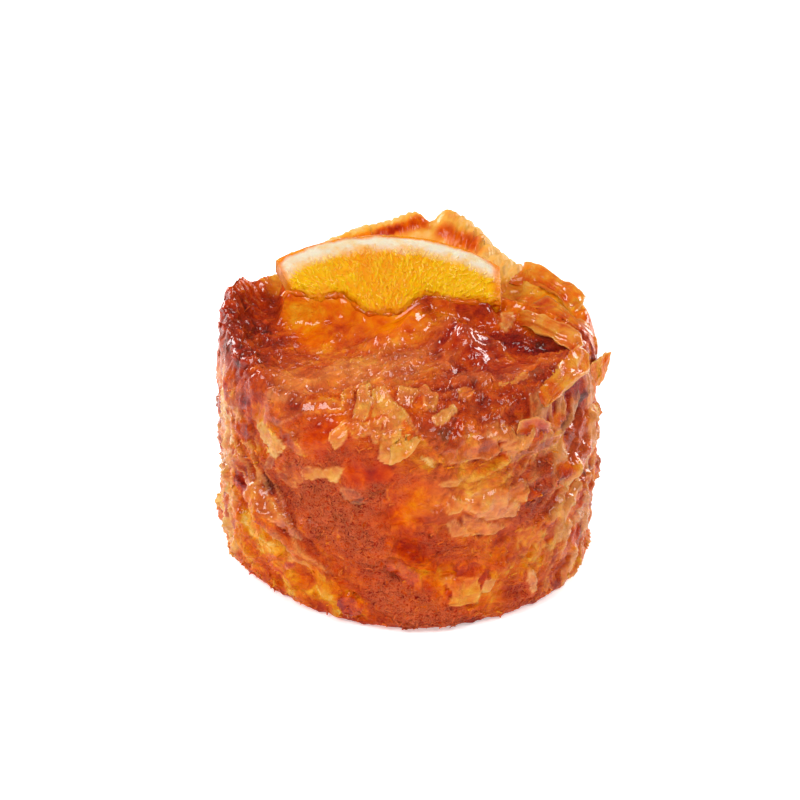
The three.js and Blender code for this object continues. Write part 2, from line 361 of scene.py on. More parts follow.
@dataclass(frozen=True)
class Pleats:
    """A run of wrinkles that all lie one way, round the line between two spots.

    heading is the way they run, in degrees from level on the wall and from +X on the top.
    """

    start: Spot
    end: Spot
    reach: float
    heading: float
    spacing: float
    depth: float


@dataclass(frozen=True)
class Patch:
    """How the filo is baked round the line between two spots.

    bake runs from 0, pale, to 1, almost black. pale adds cream, for dry filo and for painted sheen, fuzz
    short fibres, wet syrup, burnt bubbles, and calm takes away the crumpling.
    """

    start: Spot
    end: Spot
    reach: float
    bake: float
    pale: float = 0.0
    fuzz: float = 0.0
    wet: float = 0.5
    calm: float = 0.0
    burnt: float = 0.0


TOP_FOLDS = (
    Fold(9, ((-26, 24, 2), (-19, 29, 8), (-8, 32, 11), (4, 33, 15), (12, 31, 14.6), (25, 24, 1))),
    Fold(2.2, ((4.6, 40, -3.5), (5.2, 33, -3), (5.6, 26, 0))),
    Fold(4.2, ((20, 26, 0), (28, 26, 5), (36, 18, 8), (40.5, 6, 9)), 1.3),
    Fold(2.6, ((19, 9, 2.5), (28, 4, 4.2), (38, -5, 4)), 1.3),
    Fold(3.6, ((37, -9, 5), (32, -19, 5.5), (27, -27, 4), (19, -33, 1.5)), 1.3),
    Fold(2.2, ((9, -2, 2), (13, -10, 2.8), (14, -18, 0.6)), 1.3),
    Fold(2.2, ((3, 2, 2.2), (-1, -6, 2.2), (-3, -14, 0.8)), 1.3),
    Fold(2.6, ((-33, -23, 1.5), (-20, -29, 2.4), (-6, -30, 3), (8, -32, 1.6)), 1.5),
    Fold(4.6, ((-32, 26, 7), (-38.5, 12, 12), (-39.5, -6, 9), (-32, -22, 4))),
    Fold(2.6, ((-35, 17, 0), (-38.2, 10, 3.5), (-39.6, 3, 2.5), (-39.8, -4, 0)), 1.6),
    Fold(6, ((-22, -6, -1.6), (-14, -9, -2.2), (-4, -12, -1))),
    Fold(5, ((8, -17, -1), (16, -15, -2.4), (23, -10, -1.6))),
)

WALL_CREASES = (
    Crease((-188, 47), (-150, 47), 2.2, 4.5),
    Crease((-153, 32), (-112, 12), 2.2, 2),
    Crease((-160, 43), (-150, 30), 1.2, 1.8),
    Crease((-136, 24), (-142, 10), 0.9, 2),
    Crease((-132, 34), (-96, 27), -1.2, 3.2),
    Crease((-54, 30), (-6, 34), 1.4, 1.8),
    Crease((-48, 20), (-12, 27), 1.3, 1.8),
    Crease((-60, 38), (-20, 41), -1, 3),
    Crease((-100, 14), (-62, 16), -0.9, 3.4),
    Crease((25, 12), (64, 36), 1.5, 2.2),
    Crease((84, 40), (120, 18), 1.4, 2.2),
    Crease((128, 34), (170, 26), 1.3, 2),
    Crease((66, 10), (104, 15), -1, 3.2),
)

PLEATS = (
    Pleats(wall(-36, 40), wall(-30, 8), 12, 56, 2.6, 1.5),
    Pleats(wall(-14, 42), wall(-8, 8), 10, 74, 2.4, 1.2),
    Pleats(wall(-166, 44), wall(-162, 8), 7, 96, 2.4, 1.3),
    Pleats(wall(-150, 36), wall(-118, 12), 5, -46, 2.8, 1.5),
    Pleats(top(-26, -22), top(4, -16), 8, 24, 2.6, 1.5),
    Pleats(top(2, -2), top(14, -10), 7, 58, 2.8, 1.5),
    Pleats(top(12, -26), top(28, -16), 6, 14, 2.6, 1.1),
    Pleats(wall(-70, 43), wall(-50, 42), 7, 24, 2.8, 1.2),
    Pleats(wall(20, 36), wall(50, 14), 13, 56, 3.0, 1.0),
    Pleats(wall(78, 30), wall(110, 24), 13, -38, 3.2, 1.0),
    Pleats(wall(140, 30), wall(170, 18), 13, 72, 2.8, 0.9),
)

PATCHES = (
    # The left rim, burnt almost to crimson
    Patch(top(-38, 26), top(-40, 4), 6.5, 0.78, fuzz=0.2, wet=0.85, burnt=1.0),
    Patch(top(-34, -2), top(-34, -19), 7.5, 0.86, fuzz=0.2, wet=0.75, burnt=1.0),
    Patch(wall(-170, 45), wall(-141, 47), 5, 0.74, wet=0.45, burnt=0.4),
    # The left of the wall, from a painted pink sheen down to the bright foot
    Patch(wall(-168, 40), wall(-166, 10), 7, 0.36, pale=0.36, wet=1.0),
    Patch(wall(-152, 20), wall(-128, 11), 7, 0.38, wet=0.3),
    Patch(wall(-147, 24), wall(-137, 22), 3, 0.56, wet=0.4),
    Patch(wall(-150, 10), wall(-138, 6), 5, 0.32, wet=0.2),
    Patch(wall(-128, 10), wall(-106, 7), 5, 0.32, wet=0.2),
    Patch(wall(-138, 42), wall(-127, 39), 4, 0.42),
    # Red fibrous filo across the front
    Patch(wall(-123, 36), wall(-92, 34), 7, 0.76, fuzz=1.0, wet=0.1),
    Patch(wall(-116, 28), wall(-100, 22), 8, 0.76, fuzz=1.0, wet=0.1),
    Patch(wall(-120, 44), wall(-110, 42), 4, 0.64, fuzz=0.7, wet=0.2),
    Patch(wall(-94, 9), wall(-80, 3), 6, 0.72, fuzz=1.0, wet=0.1),
    Patch(wall(-72, 17), wall(-84, 23), 4, 0.7, fuzz=0.7, wet=0.1),
    Patch(wall(-56, 5), wall(-50, 4), 4, 0.68, fuzz=0.7, wet=0.2),
    # Smooth windows of soaked filo
    Patch(wall(-113, 47), wall(-119, 44), 3, 0.62, wet=0.7, calm=0.8),
    Patch(wall(-106, 38), wall(-97, 38.7), 2.6, 0.7, wet=0.6, calm=0.8),
    Patch(wall(-93, 28), wall(-85, 33), 4, 0.46, wet=0.3, calm=0.4),
    Patch(wall(-91, 21), wall(-85, 16), 3.4, 0.44, wet=0.3),
    Patch(wall(-78, 12), wall(-65, 7.5), 4, 0.38, wet=0.4, calm=0.3),
    Patch(wall(-51, 17), wall(-47, 12), 4, 0.38, wet=0.4),
    # The paler middle right and the dark bubbly patch beside it
    Patch(wall(-78, 33), wall(-58, 28), 5.5, 0.5, pale=0.12, calm=0.3),
    Patch(wall(-81, 44), wall(-62, 44), 5, 0.54, pale=0.1),
    Patch(wall(-46, 36), wall(-49, 27), 5.5, 0.8, fuzz=0.6, wet=0.4),
    Patch(wall(-39, 35), wall(-38, 34), 3.5, 0.8, fuzz=0.3),
    Patch(wall(-30, 40), wall(-26, 12), 8, 0.6, pale=0.08, wet=1.0),
    # The top: the pool of syrup, its rough front and the soaked pocket at the right
    Patch(top(-21, -10), top(-10, -10), 6, 0.56, fuzz=0.5, wet=0.4),
    Patch(top(-24, -22), top(0, -18), 6, 0.56, pale=0.14, fuzz=0.2, wet=0.6),
    Patch(top(-26, 14), top(-2, -3), 7, 0.4, wet=0.6, calm=1.0),
    Patch(top(-24, 3), top(-19, -4), 4, 0.26, wet=0.6, calm=0.7),
    Patch(top(11, -9), top(20, -16), 6, 0.8, wet=0.9, calm=0.6),
    Patch(top(12, -29), top(27, -25), 6, 0.74, fuzz=0.2),
    # The dark rim at the right
    Patch(wall(-24, 49), wall(-8, 46), 5, 0.7),
    Patch(wall(-46, 46), wall(-24, 45), 4.5, 0.8),
    Patch(wall(-60, 42), wall(-32, 41), 3.5, 0.7),
    Patch(top(20, -4), top(31, -9), 3.6, 0.84, wet=0.8),
    Patch(top(8, 2), top(24, 6), 5, 0.58, wet=1.0, calm=0.4),
    # The rear: smooth golden folds with brown blotches
    Patch(top(26, 25), top(39, 8), 9, 0.36, wet=0.7, calm=0.6),
    Patch(top(-24, 38), top(24, 37), 9, 0.5, fuzz=0.2),
    Patch(top(-24, 26), top(0, 31), 8, 0.06, pale=0.2, wet=0.3, calm=0.9),
    Patch(top(0, 31), top(22, 27), 8, 0.04, pale=0.3, wet=0.3, calm=0.9),
    # A pale strip on the crest's right edge: thin paler filo, with painted light shining through it from
    # behind
    Patch(top(9, 35), top(26, 27), 3, 0.02, pale=0.5, wet=0.3, calm=0.7),
    Patch(top(-18, 26), top(-8, 28), 2.2, 0.46, wet=0.3, calm=0.4),
    Patch(top(-6, 29), top(3, 30), 1.7, 0.6, wet=0.3, calm=0.6),
    Patch(top(8, 27), top(14, 26), 2, 0.5, wet=0.3, calm=0.6),
    Patch(top(3, 25), top(10, 24), 1.6, 0.5, wet=0.3, calm=0.6),
    # The far side, which has the same kinds of patch
    Patch(wall(14, 26), wall(30, 12), 8, 0.7, fuzz=0.8, wet=0.3),
    Patch(wall(44, 38), wall(58, 30), 6, 0.4, pale=0.2, wet=0.7),
    Patch(wall(70, 14), wall(92, 10), 6, 0.34, wet=0.6),
    Patch(wall(76, 36), wall(96, 30), 7, 0.72, fuzz=0.9, wet=0.3),
    Patch(wall(114, 42), wall(128, 36), 6, 0.46, pale=0.25, wet=0.8),
    Patch(wall(124, 20), wall(146, 14), 8, 0.68, fuzz=0.8, wet=0.3),
    Patch(wall(158, 34), wall(176, 28), 7, 0.5, pale=0.2, wet=0.9),
    Patch(wall(168, 10), wall(186, 8), 6, 0.36, wet=0.6),
)


@dataclass(frozen=True)
class Flake:
    """A torn shard of filo: its corners in order round it, and how it is baked.

    bulge is how far its middle stands out, and crumple how strongly it is creased.
    """

    corners: tuple[Spot, ...]
    bake: float
    pale: float = 0.2
    wet: float = 0.5
    bulge: float = 0.4
    crumple: float = 1.0


@dataclass(frozen=True)
class Sheet:
    """A larger bent leaf of filo, given by rows of spots that run along it."""

    rows: tuple[tuple[Spot, ...], ...]
    bake: float
    pale: float = 0.2
    wet: float = 0.8
    bulge: float = 0.6


FLAKES = (
    # The tuft of shards at the front rim
    Flake((top(-13.9, -30.3, 1.2), top(-10.8, -29.4, 1.6), top(-11.4, -32.4, 0.4), top(-12, -34.8, 0.6),
           top(-13.9, -33, 0.4)), 0.42, 0.12),
    Flake((top(-10.8, -29.8, 1.8), top(-8.1, -29.6, 2.2), top(-7.5, -32, 1.4), top(-8.1, -35.6, 1),
           top(-9.5, -35.9, 0.6), top(-11.6, -34.9, 0.4), top(-11.2, -32.4, 0.9)), 0.28, 0.3),
    Flake((top(-8.1, -30.5, 1), top(-5.4, -30.3, 1.6), top(-3.8, -32.7, 1.8), top(-1.3, -34.6, 1.8),
           top(0.3, -37.3, 1.4), wall(-87, 46.7, 0.6), top(-1.6, -36.4, 0.2), top(-4.8, -35.6, 0.3),
           top(-7.5, -35.7, 0.2)), 0.34, 0.24),
    Flake((top(-5.2, -36.2, 0.8), top(-2.5, -35.8, 1.2), top(-1.1, -36.3, 1), wall(-92, 46.2, 0.8),
           wall(-94, 42.2, 1.2), wall(-97, 41.6, 1), wall(-99, 42.4, 0.5), wall(-98, 46, 0.3)), 0.28, 0.3),
    Flake((wall(-114, 44.5, 1.4), wall(-114, 46.2, 0.8), top(-13.9, -35.2, 0.4), top(-13.5, -34.5, 0.2),
           wall(-108, 46.6, 0.3), wall(-110, 43.8, 0.8), wall(-112, 42.9, 1.2)), 0.28, 0.3),
    Flake((top(-13.5, -34.5, 0.2), top(-11.6, -34.9, 0.6), top(-8.3, -36.2, 1), wall(-99, 47.3, 0.6),
           wall(-103, 46.4, 0.8), wall(-106, 45.6, 0.8), wall(-108, 46.4)), 0.42, 0.16),
    Flake((top(-8.4, -36, 0.4), top(-5.2, -36.2, 0.8), wall(-98, 46, 1.2), wall(-100, 45.4, 0.8),
           wall(-102, 46.4)), 0.34, 0.24),
    Flake((wall(-141, 47.5, -0.3), wall(-127, 49.9, 0.2), top(-14.1, -31.1, 0.6), top(-13.9, -33, 0.8),
           wall(-119, 48.6, 0.6), wall(-126, 47.6, 0.9), wall(-132, 44.4, 0.8), wall(-139, 42.8, 0.5)),
          0.5, 0.12, 0.8, 0.5, 0.5),
    # Cream shards on the left of the front
    Flake((wall(-142, 41.9, 0.8), wall(-140, 43.2, 0.5), wall(-135, 42.5, 0.3), wall(-131, 41.2, 0.6),
           wall(-128.5, 40.2, 1), wall(-132, 38, 1), wall(-133, 36.3, 1.4), wall(-136, 36.8, 1),
           wall(-138, 37.9, 0.8), wall(-141, 39, 0.6)), 0.1, 0.66, 0.4, 0.8),
    Flake((wall(-134, 43.8), wall(-128, 43.9, 0.4), wall(-124, 41.8, 0.8), wall(-121, 39.4, 1),
           wall(-125, 39.6, 0.6), wall(-130, 41, 0.2)), 0.44, 0.14),
    Flake((wall(-124, 35.3, 0.5), wall(-122, 37.6, 0.3), wall(-117, 37.8, 0.3), wall(-113, 39, 0.6),
           wall(-109, 39.4, 1.2), wall(-110, 37.6, 0.8), wall(-111, 35.6, 1.2), wall(-116, 35.9, 0.8),
           wall(-121, 34.2, 0.8)), 0.26, 0.36, 0.3, 0.6),
    Flake((wall(-147, 29, 0.4), wall(-139, 28.3, 0.8), wall(-132, 26.2, 1), wall(-126, 24, 0.8),
           wall(-122, 19.6, 0.6), wall(-128, 21.4, 0.4), wall(-136, 24.6, 0.3), wall(-143, 26, 0.2)),
          0.46, 0.22, 0.9, 0.7, 1.2),
    # The folded leaf at the middle right
    Flake((wall(-74, 32.2, 0.4), wall(-69, 33.7, 0.3), wall(-62, 32.9, 0.3), wall(-59, 32.5, 0.8),
           wall(-58, 29.9, 1), wall(-54.5, 27.6, 1), wall(-56, 25, 0.8), wall(-61, 25.4, 1),
           wall(-67, 26.2, 0.8), wall(-71, 29.2, 0.6)), 0.4, 0.3, 0.7, 0.7, 1.1),
    Flake((wall(-78, 33.9, 0.8), wall(-75, 32.5, 0.4), wall(-73, 31.4, 0.5), wall(-71, 29.1, 0.9),
           wall(-74, 30.1, 0.3), wall(-76, 29.2, 0.6), wall(-79, 29.7, 0.4)), 0.36, 0.3),
    Flake((wall(-74, 27.8, 0.4), wall(-70, 27.7, 0.5), wall(-66, 25.3, 0.8), wall(-62, 24.3, 0.6),
           wall(-59.5, 22.7, 0.8), wall(-65, 21.6, 0.8), wall(-69, 22.6, 0.6), wall(-73, 23.4, 0.8)),
          0.4, 0.24),
    Flake((wall(-79.4, 27, 0.6), wall(-76, 27.6, 0.3), wall(-73, 24.9, 0.6), wall(-71.6, 22.8, 0.8),
           wall(-77, 23, 0.5)), 0.42, 0.26),
    Flake((wall(-62, 32.9, 0.2), wall(-58, 32.5, 0.6), wall(-54, 33.5, 1), wall(-52.6, 30.9, 0.8),
           wall(-54, 27.6, 0.9), wall(-58, 29.2, 0.3)), 0.42, 0.24),
    # Shards right of the tuft, along the front rim
    Flake((top(4.5, -35.9, 0.6), top(6.5, -34.5, 0.5), top(9.2, -33.2, 0.9), top(10.2, -34, 1.1),
           top(8.2, -36.2, 0.9), top(5.7, -37.1, 0.8)), 0.22, 0.42),
    Flake((top(2, -26, 0.8), top(4.1, -26.4, 1), top(6.5, -32, 0.6), top(5.7, -34.5, 0.5),
           top(3.2, -34.1, 0.4), top(2.4, -31, 0.5)), 0.32, 0.26, 0.9),
    Flake((top(-1.9, -30.1, 0.8), top(0.4, -26.4, 1), top(2, -31, 1), top(0.8, -33.2, 0.8),
           top(-1.3, -33.4, 0.6), top(-2.7, -31.9, 0.6)), 0.36, 0.26, 1.0, 0.9),
    Flake((top(9.7, -28.4, 0.4), top(11.8, -26.8, 0.6), top(14.1, -27.9, 0.8), top(12.8, -30.6, 0.6),
           top(10.3, -31.3, 0.5)), 0.34, 0.2),
    Flake((wall(-81, 44, 0.3), wall(-76, 46, 0.4), wall(-68, 46.4, 0.4), wall(-63, 44.2, 0.8),
           wall(-61.6, 41.6, 1), wall(-66, 40.6, 0.8), wall(-73, 41, 0.7), wall(-78, 41, 0.6)),
          0.46, 0.18, 0.7, 0.6, 0.8),
    Flake((wall(-67, 47.6, 0.2), wall(-61, 47.4, 0.5), wall(-56.6, 45, 0.9), wall(-58, 43.1, 0.9),
           wall(-62, 43.8, 0.6), wall(-65, 45.8, 0.3)), 0.44, 0.2, 0.7),
    Flake((wall(-87.4, 43.2, 0.4), wall(-83, 42.2, 0.8), wall(-82.6, 40, 1), wall(-85, 41.3, 0.5)),
          0.18, 0.5),
    Flake((wall(-81, 36, 0.5), wall(-78, 37, 0.3), wall(-73.6, 37.3, 0.8), wall(-76, 35.2, 0.8),
           wall(-80, 35, 0.6)), 0.3, 0.26),
    Flake((wall(-61, 41.2, 0.2), wall(-55, 41.4, 0.5), wall(-45, 41.2, 0.8), wall(-36.6, 40, 0.6),
           wall(-40, 37.6, 0.9), wall(-51, 37.7, 0.8), wall(-58, 37.9, 0.5)), 0.5, 0.2, 0.9, 0.5, 1.2),
    # Low flakes near the foot
    Flake((wall(-80.4, 12.5, 0.3), wall(-75, 13.3, 0.4), wall(-69, 12.4, 0.5), wall(-67.6, 9.1, 0.6),
           wall(-69, 6.2, 0.8), wall(-78, 6.8, 0.8), wall(-77, 9.7, 0.5)), 0.28, 0.14, 0.3),
    Flake((wall(-67, 11.9, 0.4), wall(-62.6, 11.1, 0.7), wall(-65, 8.4, 0.7), wall(-68, 8.4, 0.5)),
          0.36, 0.34),
    Flake((wall(-55, 21.2, 0.3), wall(-49, 20.9, 0.4), wall(-44.6, 17.9, 0.8), wall(-50, 16.1, 0.6),
           wall(-53, 13.1, 0.8), wall(-55.4, 16.7, 0.4)), 0.32, 0.12, 0.3),
    Flake((wall(-51, 11.2, 0.4), wall(-49, 10, 0.5), wall(-48, 5, 0.7), wall(-50, 4, 0.6),
           wall(-52, 8.2, 0.5)), 0.4, 0.4, 0.9),
    # Tan shards on the top, right of the slice and on the lip of the pocket
    Flake((top(20.2, 5.5, 0.4), top(22.8, 4.9, 0.6), top(23.2, 2.8, 0.7), top(20.9, -1.8, 0.6),
           top(19.8, 0.1, 0.4)), 0.28, 0.42),
    Flake((top(17.3, -25.2, 0.4), top(21.3, -23.5, 0.9), top(24.7, -20, 1.3), top(26.1, -22.7, 0.9),
           top(23.3, -25, 0.5), top(20.1, -26.6, 0.3)), 0.34, 0.22, 0.8),
)

SHARDS = (
    # The tab of the tuft at the front rim
    Flake((wall(-94, 46.6, -0.4), wall(-89, 47, 0.2), wall(-86.4, 46.1, 1.6), wall(-89, 43.9, 1.8),
           wall(-92, 42.5, 1.4), wall(-95.5, 41.4, 1.4), wall(-95, 44.3, 0.2)), 0.16, 0.42, 0.5, 0.5, 0.7),
    # The thin lip on the right of the rim
    Flake((wall(-57, 42.6, -0.5), wall(-55.4, 46.9, 1), wall(-49, 46.8, 1.5), wall(-44, 44.1, 1.2),
           wall(-42, 40.5, -0.4), wall(-49, 41.3, -0.6)), 0.54, 0.04, 0.8, 0.2, 0.6),
    # The leaf that sticks out at the far right
    Flake((wall(-12, 47.4, -0.6), wall(-5, 46.8, 0.8), wall(-1, 46, 1.8), wall(1, 45.4, 3),
           wall(0, 43.4, 2.2), wall(-3, 41.6, 1.4), wall(-7, 40.8, 0.4), wall(-12, 42, -0.6)),
          0.18, 0.0, 0.2, 0.2, 0.7),
)

SHEETS = (
    # The folded leaf behind the slice's right end
    Sheet(((top(21.6, 23, -0.6), top(25.1, 25.4, 0.6), top(27.1, 26.2, 1.4), top(30.1, 24.2, 1.3),
            top(33.8, 19.2, 1.2), top(35.7, 16.1, 1.8), top(37.9, 10.5, 1.4)),
           (top(22, 21.6, -0.8), top(25.6, 21.6, -0.4), top(28.9, 19.4, 0.1), top(31, 17.4, 0.2),
            top(33.7, 13.3, 0.1), top(34.6, 9.5, -0.4), top(36.5, 4.8, -0.6))), 0.2, 0.04, 0.8, 0.1),
    # The smooth leaf that sweeps down to the right
    Sheet(((top(24.3, 9, -0.7), top(28.1, 13.6, 0.4), top(30.9, 14.4, 1), top(33.3, 10.6, 1.2),
            top(35.9, 4.6, 1.2), wall(3, 49.5, 0.6), wall(-1, 46.5, 0.2)),
           (top(26, 4, -0.8), top(28.5, 1.5, -0.7), top(31.2, -0.8, -0.7), top(33.9, -3, -0.7),
            top(36.1, -6.4, -0.7), top(37.7, -9, -0.7), wall(-11, 47.5, -0.7))), 0.3, 0.0, 0.9, 0.1),
    # The ribbon that runs to the right rim
    Sheet(((top(23.6, 5, -0.5), top(26.4, 3.5, 0.8), top(29.6, 0.9, 1.5), top(32.7, -1.5, 1.7),
            top(35.2, -4, 1.8), top(36.6, -7.7, 1.7), top(36.5, -11.1, 1)),
           (top(23.4, 2.2, -0.7), top(25.9, -0.3, 0), top(28.2, -3, 0.5), top(30.5, -5.7, 0.6),
            top(32.4, -9.7, 0.6), top(33.8, -12.3, 0.2), top(34.9, -13.2, -0.6))), 0.26, 0.2, 0.7, 0.15),
    # The leaf that hangs over the right rim
    Sheet(((top(35.6, -12.1, 0.8), top(37.1, -11.9, 1.3), top(37.1, -13.9, 1.6), wall(-26, 49.4, 1.6),
            wall(-33, 48.8, 1.4), wall(-39, 48.2, 1.2), wall(-43, 47.3, 0.7)),
           (top(34, -15, -0.6), top(32, -18.3, -0.3), top(30.8, -21.2, 0), top(29, -24.1, 0),
            top(27.5, -26.3, -0.2), wall(-46, 50.1, -0.3), wall(-44.4, 47.5, -0.2))), 0.24, 0.14, 0.6, 0.15),
)


class Wiring:
    """Adds and links the nodes of one shader or geometry tree."""

    COLOURS_IN, COLOUR_OUT = (6, 7), 2

    def __init__(self, tree: bpy.types.NodeTree) -> None:
        """Keeps the tree."""
        self.tree = tree

    def add(self, kind: str, inputs: dict[str, object] | None = None, **settings: object) -> bpy.types.Node:
        """Adds a node.

        Args:
            kind: The node's type.
            inputs: What each named input gets.
            settings: The node's properties.

        Returns:
            The new node.
        """
        node = self.tree.nodes.new(kind)
        for name, value in settings.items():
            setattr(node, name, value)
        for name, value in (inputs or {}).items():
            self.feed(node.inputs[name], value)
        return node

    def feed(self, socket: Socket, value: object) -> None:
        """Fills one input.

        Args:
            socket: The input.
            value: Another node's socket, which is linked in, or a plain value.
        """
        if isinstance(value, bpy.types.NodeSocket):
            self.tree.links.new(value, socket)
        else:
            socket.default_value = value

    def math(self, operation: str, first: object, second: object = 0.0, third: object = 0.0,
             clamp: bool = False) -> Socket:
        """Works out one sum.

        Args:
            operation: The kind of sum.
            first: Its first value.
            second: Its second value.
            third: Its third value, if it takes one.
            clamp: Whether the result is held from 0 to 1.

        Returns:
            The result.
        """
        node = self.add("ShaderNodeMath", operation=operation, use_clamp=clamp)
        for socket, value in zip(node.inputs, (first, second, third)):
            self.feed(socket, value)
        return node.outputs[0]

    def mix(self, share: object, first: object, second: object, way: str = "MIX") -> Socket:
        """Mixes two colours.

        Args:
            share: The second colour's share.
            first: The first colour.
            second: The second colour.
            way: How they are mixed.

        Returns:
            The mixed colour.
        """
        node = self.add("ShaderNodeMix", {"Factor": share}, data_type="RGBA", clamp_factor=True,
                        blend_type=way)
        for position, colour in zip(self.COLOURS_IN, (first, second)):
            self.feed(node.inputs[position], colour)
        return node.outputs[self.COLOUR_OUT]

    def noise(self, place: Socket, scale: float, detail: float = 4, rough: float = 0.6,
              warp: float = 0.0) -> Socket:
        """Adds a noise texture.

        Args:
            place: Where it is read.
            scale: How fine it is.
            detail: How many finer layers it has.
            rough: How strong those are.
            warp: How far it is twisted.

        Returns:
            Its value less a half, so about -0.5 to 0.5.
        """
        node = self.add("ShaderNodeTexNoise", {"Vector": place, "Scale": scale, "Detail": detail,
                                               "Roughness": rough, "Distortion": warp})
        return self.math("SUBTRACT", node.outputs["Fac"], 0.5)

    def span(self, value: object, low: float, high: float) -> Socket:
        """Maps a span of values onto 0 to 1.

        Args:
            value: What is mapped.
            low: The value that gives 0.
            high: The value that gives 1.

        Returns:
            The result, held from 0 to 1.
        """
        node = self.add("ShaderNodeMapRange", clamp=True)
        for socket, number in zip(node.inputs[:3], (value, low, high)):
            self.feed(socket, number)
        return node.outputs[0]

    def ramp(self, value: object, stops: tuple[tuple[float, str], ...]) -> Socket:
        """Turns a value into a colour.

        Args:
            value: The value.
            stops: A row of (value, colour code).

        Returns:
            The colour.
        """
        node = self.add("ShaderNodeValToRGB", {"Fac": value})
        elements = node.color_ramp.elements
        while len(elements) < len(stops):
            elements.new(1.0)
        for element, (position, code) in zip(elements, stops):
            element.position = position
            element.color = linear(code)
        return node.outputs["Color"]

    def vector(self, x: object, y: object, z: object) -> Socket:
        """Joins three values into a vector."""
        return self.add("ShaderNodeCombineXYZ", {"X": x, "Y": y, "Z": z}).outputs[0]

    def attribute(self, name: str) -> Socket:
        """Reads one of the mesh's own values."""
        return self.add("ShaderNodeAttribute", attribute_name=name).outputs["Fac"]


class BakedFilo:
    """The shared look of baked filo: its browning, cream, fibres, streaks, painted shade in creases and fine
    grain.
    """

    NAME = "Baked filo"
    BROWNING = ((0.0, "F0BC64"), (0.16, "EA9E1C"), (0.3, "E47C00"), (0.44, "DC6000"), (0.58, "CA4400"),
                (0.72, "B22C04"), (0.86, "901608"), (1.0, "5A0806"))
    CREAM = "ECB46C"
    FIBRE = "DC7246"
    MOTTLE = {"scale": 420.0, "detail": 6, "rough": 0.62, "warp": 0.4}
    FIBRES = {"scale": 1050.0, "detail": 3, "rough": 0.6, "warp": 1.2}
    CREASES = {"scale": 240.0, "detail": 5, "rough": 0.66, "warp": 0.7}
    STREAKS = {"scale": 420.0, "detail": 5, "rough": 0.64, "warp": 0.25}
    STREAK_STRETCH = 0.16
    STRAND_SHARPNESS = 7.0
    CREASE_SHARPNESS = 9.0
    FIBRE_SHADE = 0.5
    FIBRE_SHARE = 0.7
    CREASE_SHADE = 0.1
    STREAK_SHADE = 0.45
    CALMING = 0.85
    FIBRE_LIFT = (0.7, 0.15)
    MOTTLE_LIFT = 0.4
    CREASE_LIFT = -0.35
    STREAK_LIFT = 1.1
    ROUGHNESS = (0.25, 0.14)

    @classmethod
    def group(cls) -> bpy.types.NodeTree:
        """Builds the group once.

        Returns:
            The group, with colour, roughness and height outputs.
        """
        ready = bpy.data.node_groups.get(cls.NAME)
        if ready:
            return ready
        tree = bpy.data.node_groups.new(cls.NAME, "ShaderNodeTree")
        for label in ("Bake", "Pale", "Fuzz", "Calm", "Sweep", "Mottle"):
            tree.interface.new_socket(label, in_out="INPUT", socket_type="NodeSocketFloat")
        tree.interface.new_socket("Color", in_out="OUTPUT", socket_type="NodeSocketColor")
        for label in ("Roughness", "Height"):
            tree.interface.new_socket(label, in_out="OUTPUT", socket_type="NodeSocketFloat")
        wires = Wiring(tree)
        given = wires.add("NodeGroupInput").outputs
        place = wires.add("ShaderNodeTexCoord").outputs["Object"]
        mottle, fibres, folds = (wires.noise(place, **kind) for kind in (cls.MOTTLE, cls.FIBRES,
                                                                         cls.CREASES))
        strands = wires.math("MULTIPLY_ADD", wires.math("ABSOLUTE", fibres), -cls.STRAND_SHARPNESS, 1.0,
                             clamp=True)
        creases = wires.math("MULTIPLY_ADD", wires.math("ABSOLUTE", folds), -cls.CREASE_SHARPNESS, 1.0,
                             clamp=True)
        spot = wires.add("ShaderNodeSeparateXYZ", {"Vector": place}).outputs
        x, y, z = (wires.math("MULTIPLY", spot[axis], cls.STREAK_STRETCH) for axis in "XYZ")
        drawn_out = wires.vector(x, y, wires.math("ADD", z, given["Sweep"]))
        streaks = wires.noise(drawn_out, **cls.STREAKS)
        busy = wires.math("MULTIPLY_ADD", given["Calm"], -cls.CALMING, 1.0)
        browned = wires.math("MULTIPLY_ADD", mottle, given["Mottle"], given["Bake"])
        # The creases, sunk in the height below, are painted darker: painted shade. The streaks are random
        # tone.
        lined = wires.math("MULTIPLY_ADD", streaks, cls.STREAK_SHADE,
                           wires.math("MULTIPLY", creases, cls.CREASE_SHADE))
        browned = wires.math("MULTIPLY_ADD", lined, busy, browned)
        shade = wires.math("MULTIPLY", given["Fuzz"], cls.FIBRE_SHADE)
        colour = wires.ramp(wires.math("MULTIPLY_ADD", fibres, shade, browned), cls.BROWNING)
        creamy = wires.mix(given["Pale"], colour, linear(cls.CREAM))
        hairy = wires.math("MULTIPLY", wires.math("MULTIPLY", strands, given["Fuzz"]), cls.FIBRE_SHARE)
        lift = wires.math("MULTIPLY_ADD", given["Fuzz"], *cls.FIBRE_LIFT)
        rough = wires.math("MULTIPLY_ADD", mottle, cls.MOTTLE_LIFT,
                           wires.math("MULTIPLY", creases, cls.CREASE_LIFT))
        rough = wires.math("MULTIPLY_ADD", streaks, cls.STREAK_LIFT, rough)
        wires.add("NodeGroupOutput", {
            "Color": wires.mix(hairy, creamy, linear(cls.FIBRE)),
            "Roughness": wires.math("MULTIPLY_ADD", given["Fuzz"], *cls.ROUGHNESS),
            "Height": wires.math("MULTIPLY", wires.math("MULTIPLY_ADD", fibres, lift, rough), busy)})
        return tree


def principled(name: str) -> tuple[bpy.types.Material, Wiring, bpy.types.Node]:
    """Starts a material.

    Args:
        name: The material's name.

    Returns:
        The material, its wiring and its shader.
    """
    material = bpy.data.materials.new(name)
    material.use_nodes = True
    return material, Wiring(material.node_tree), material.node_tree.nodes["Principled BSDF"]


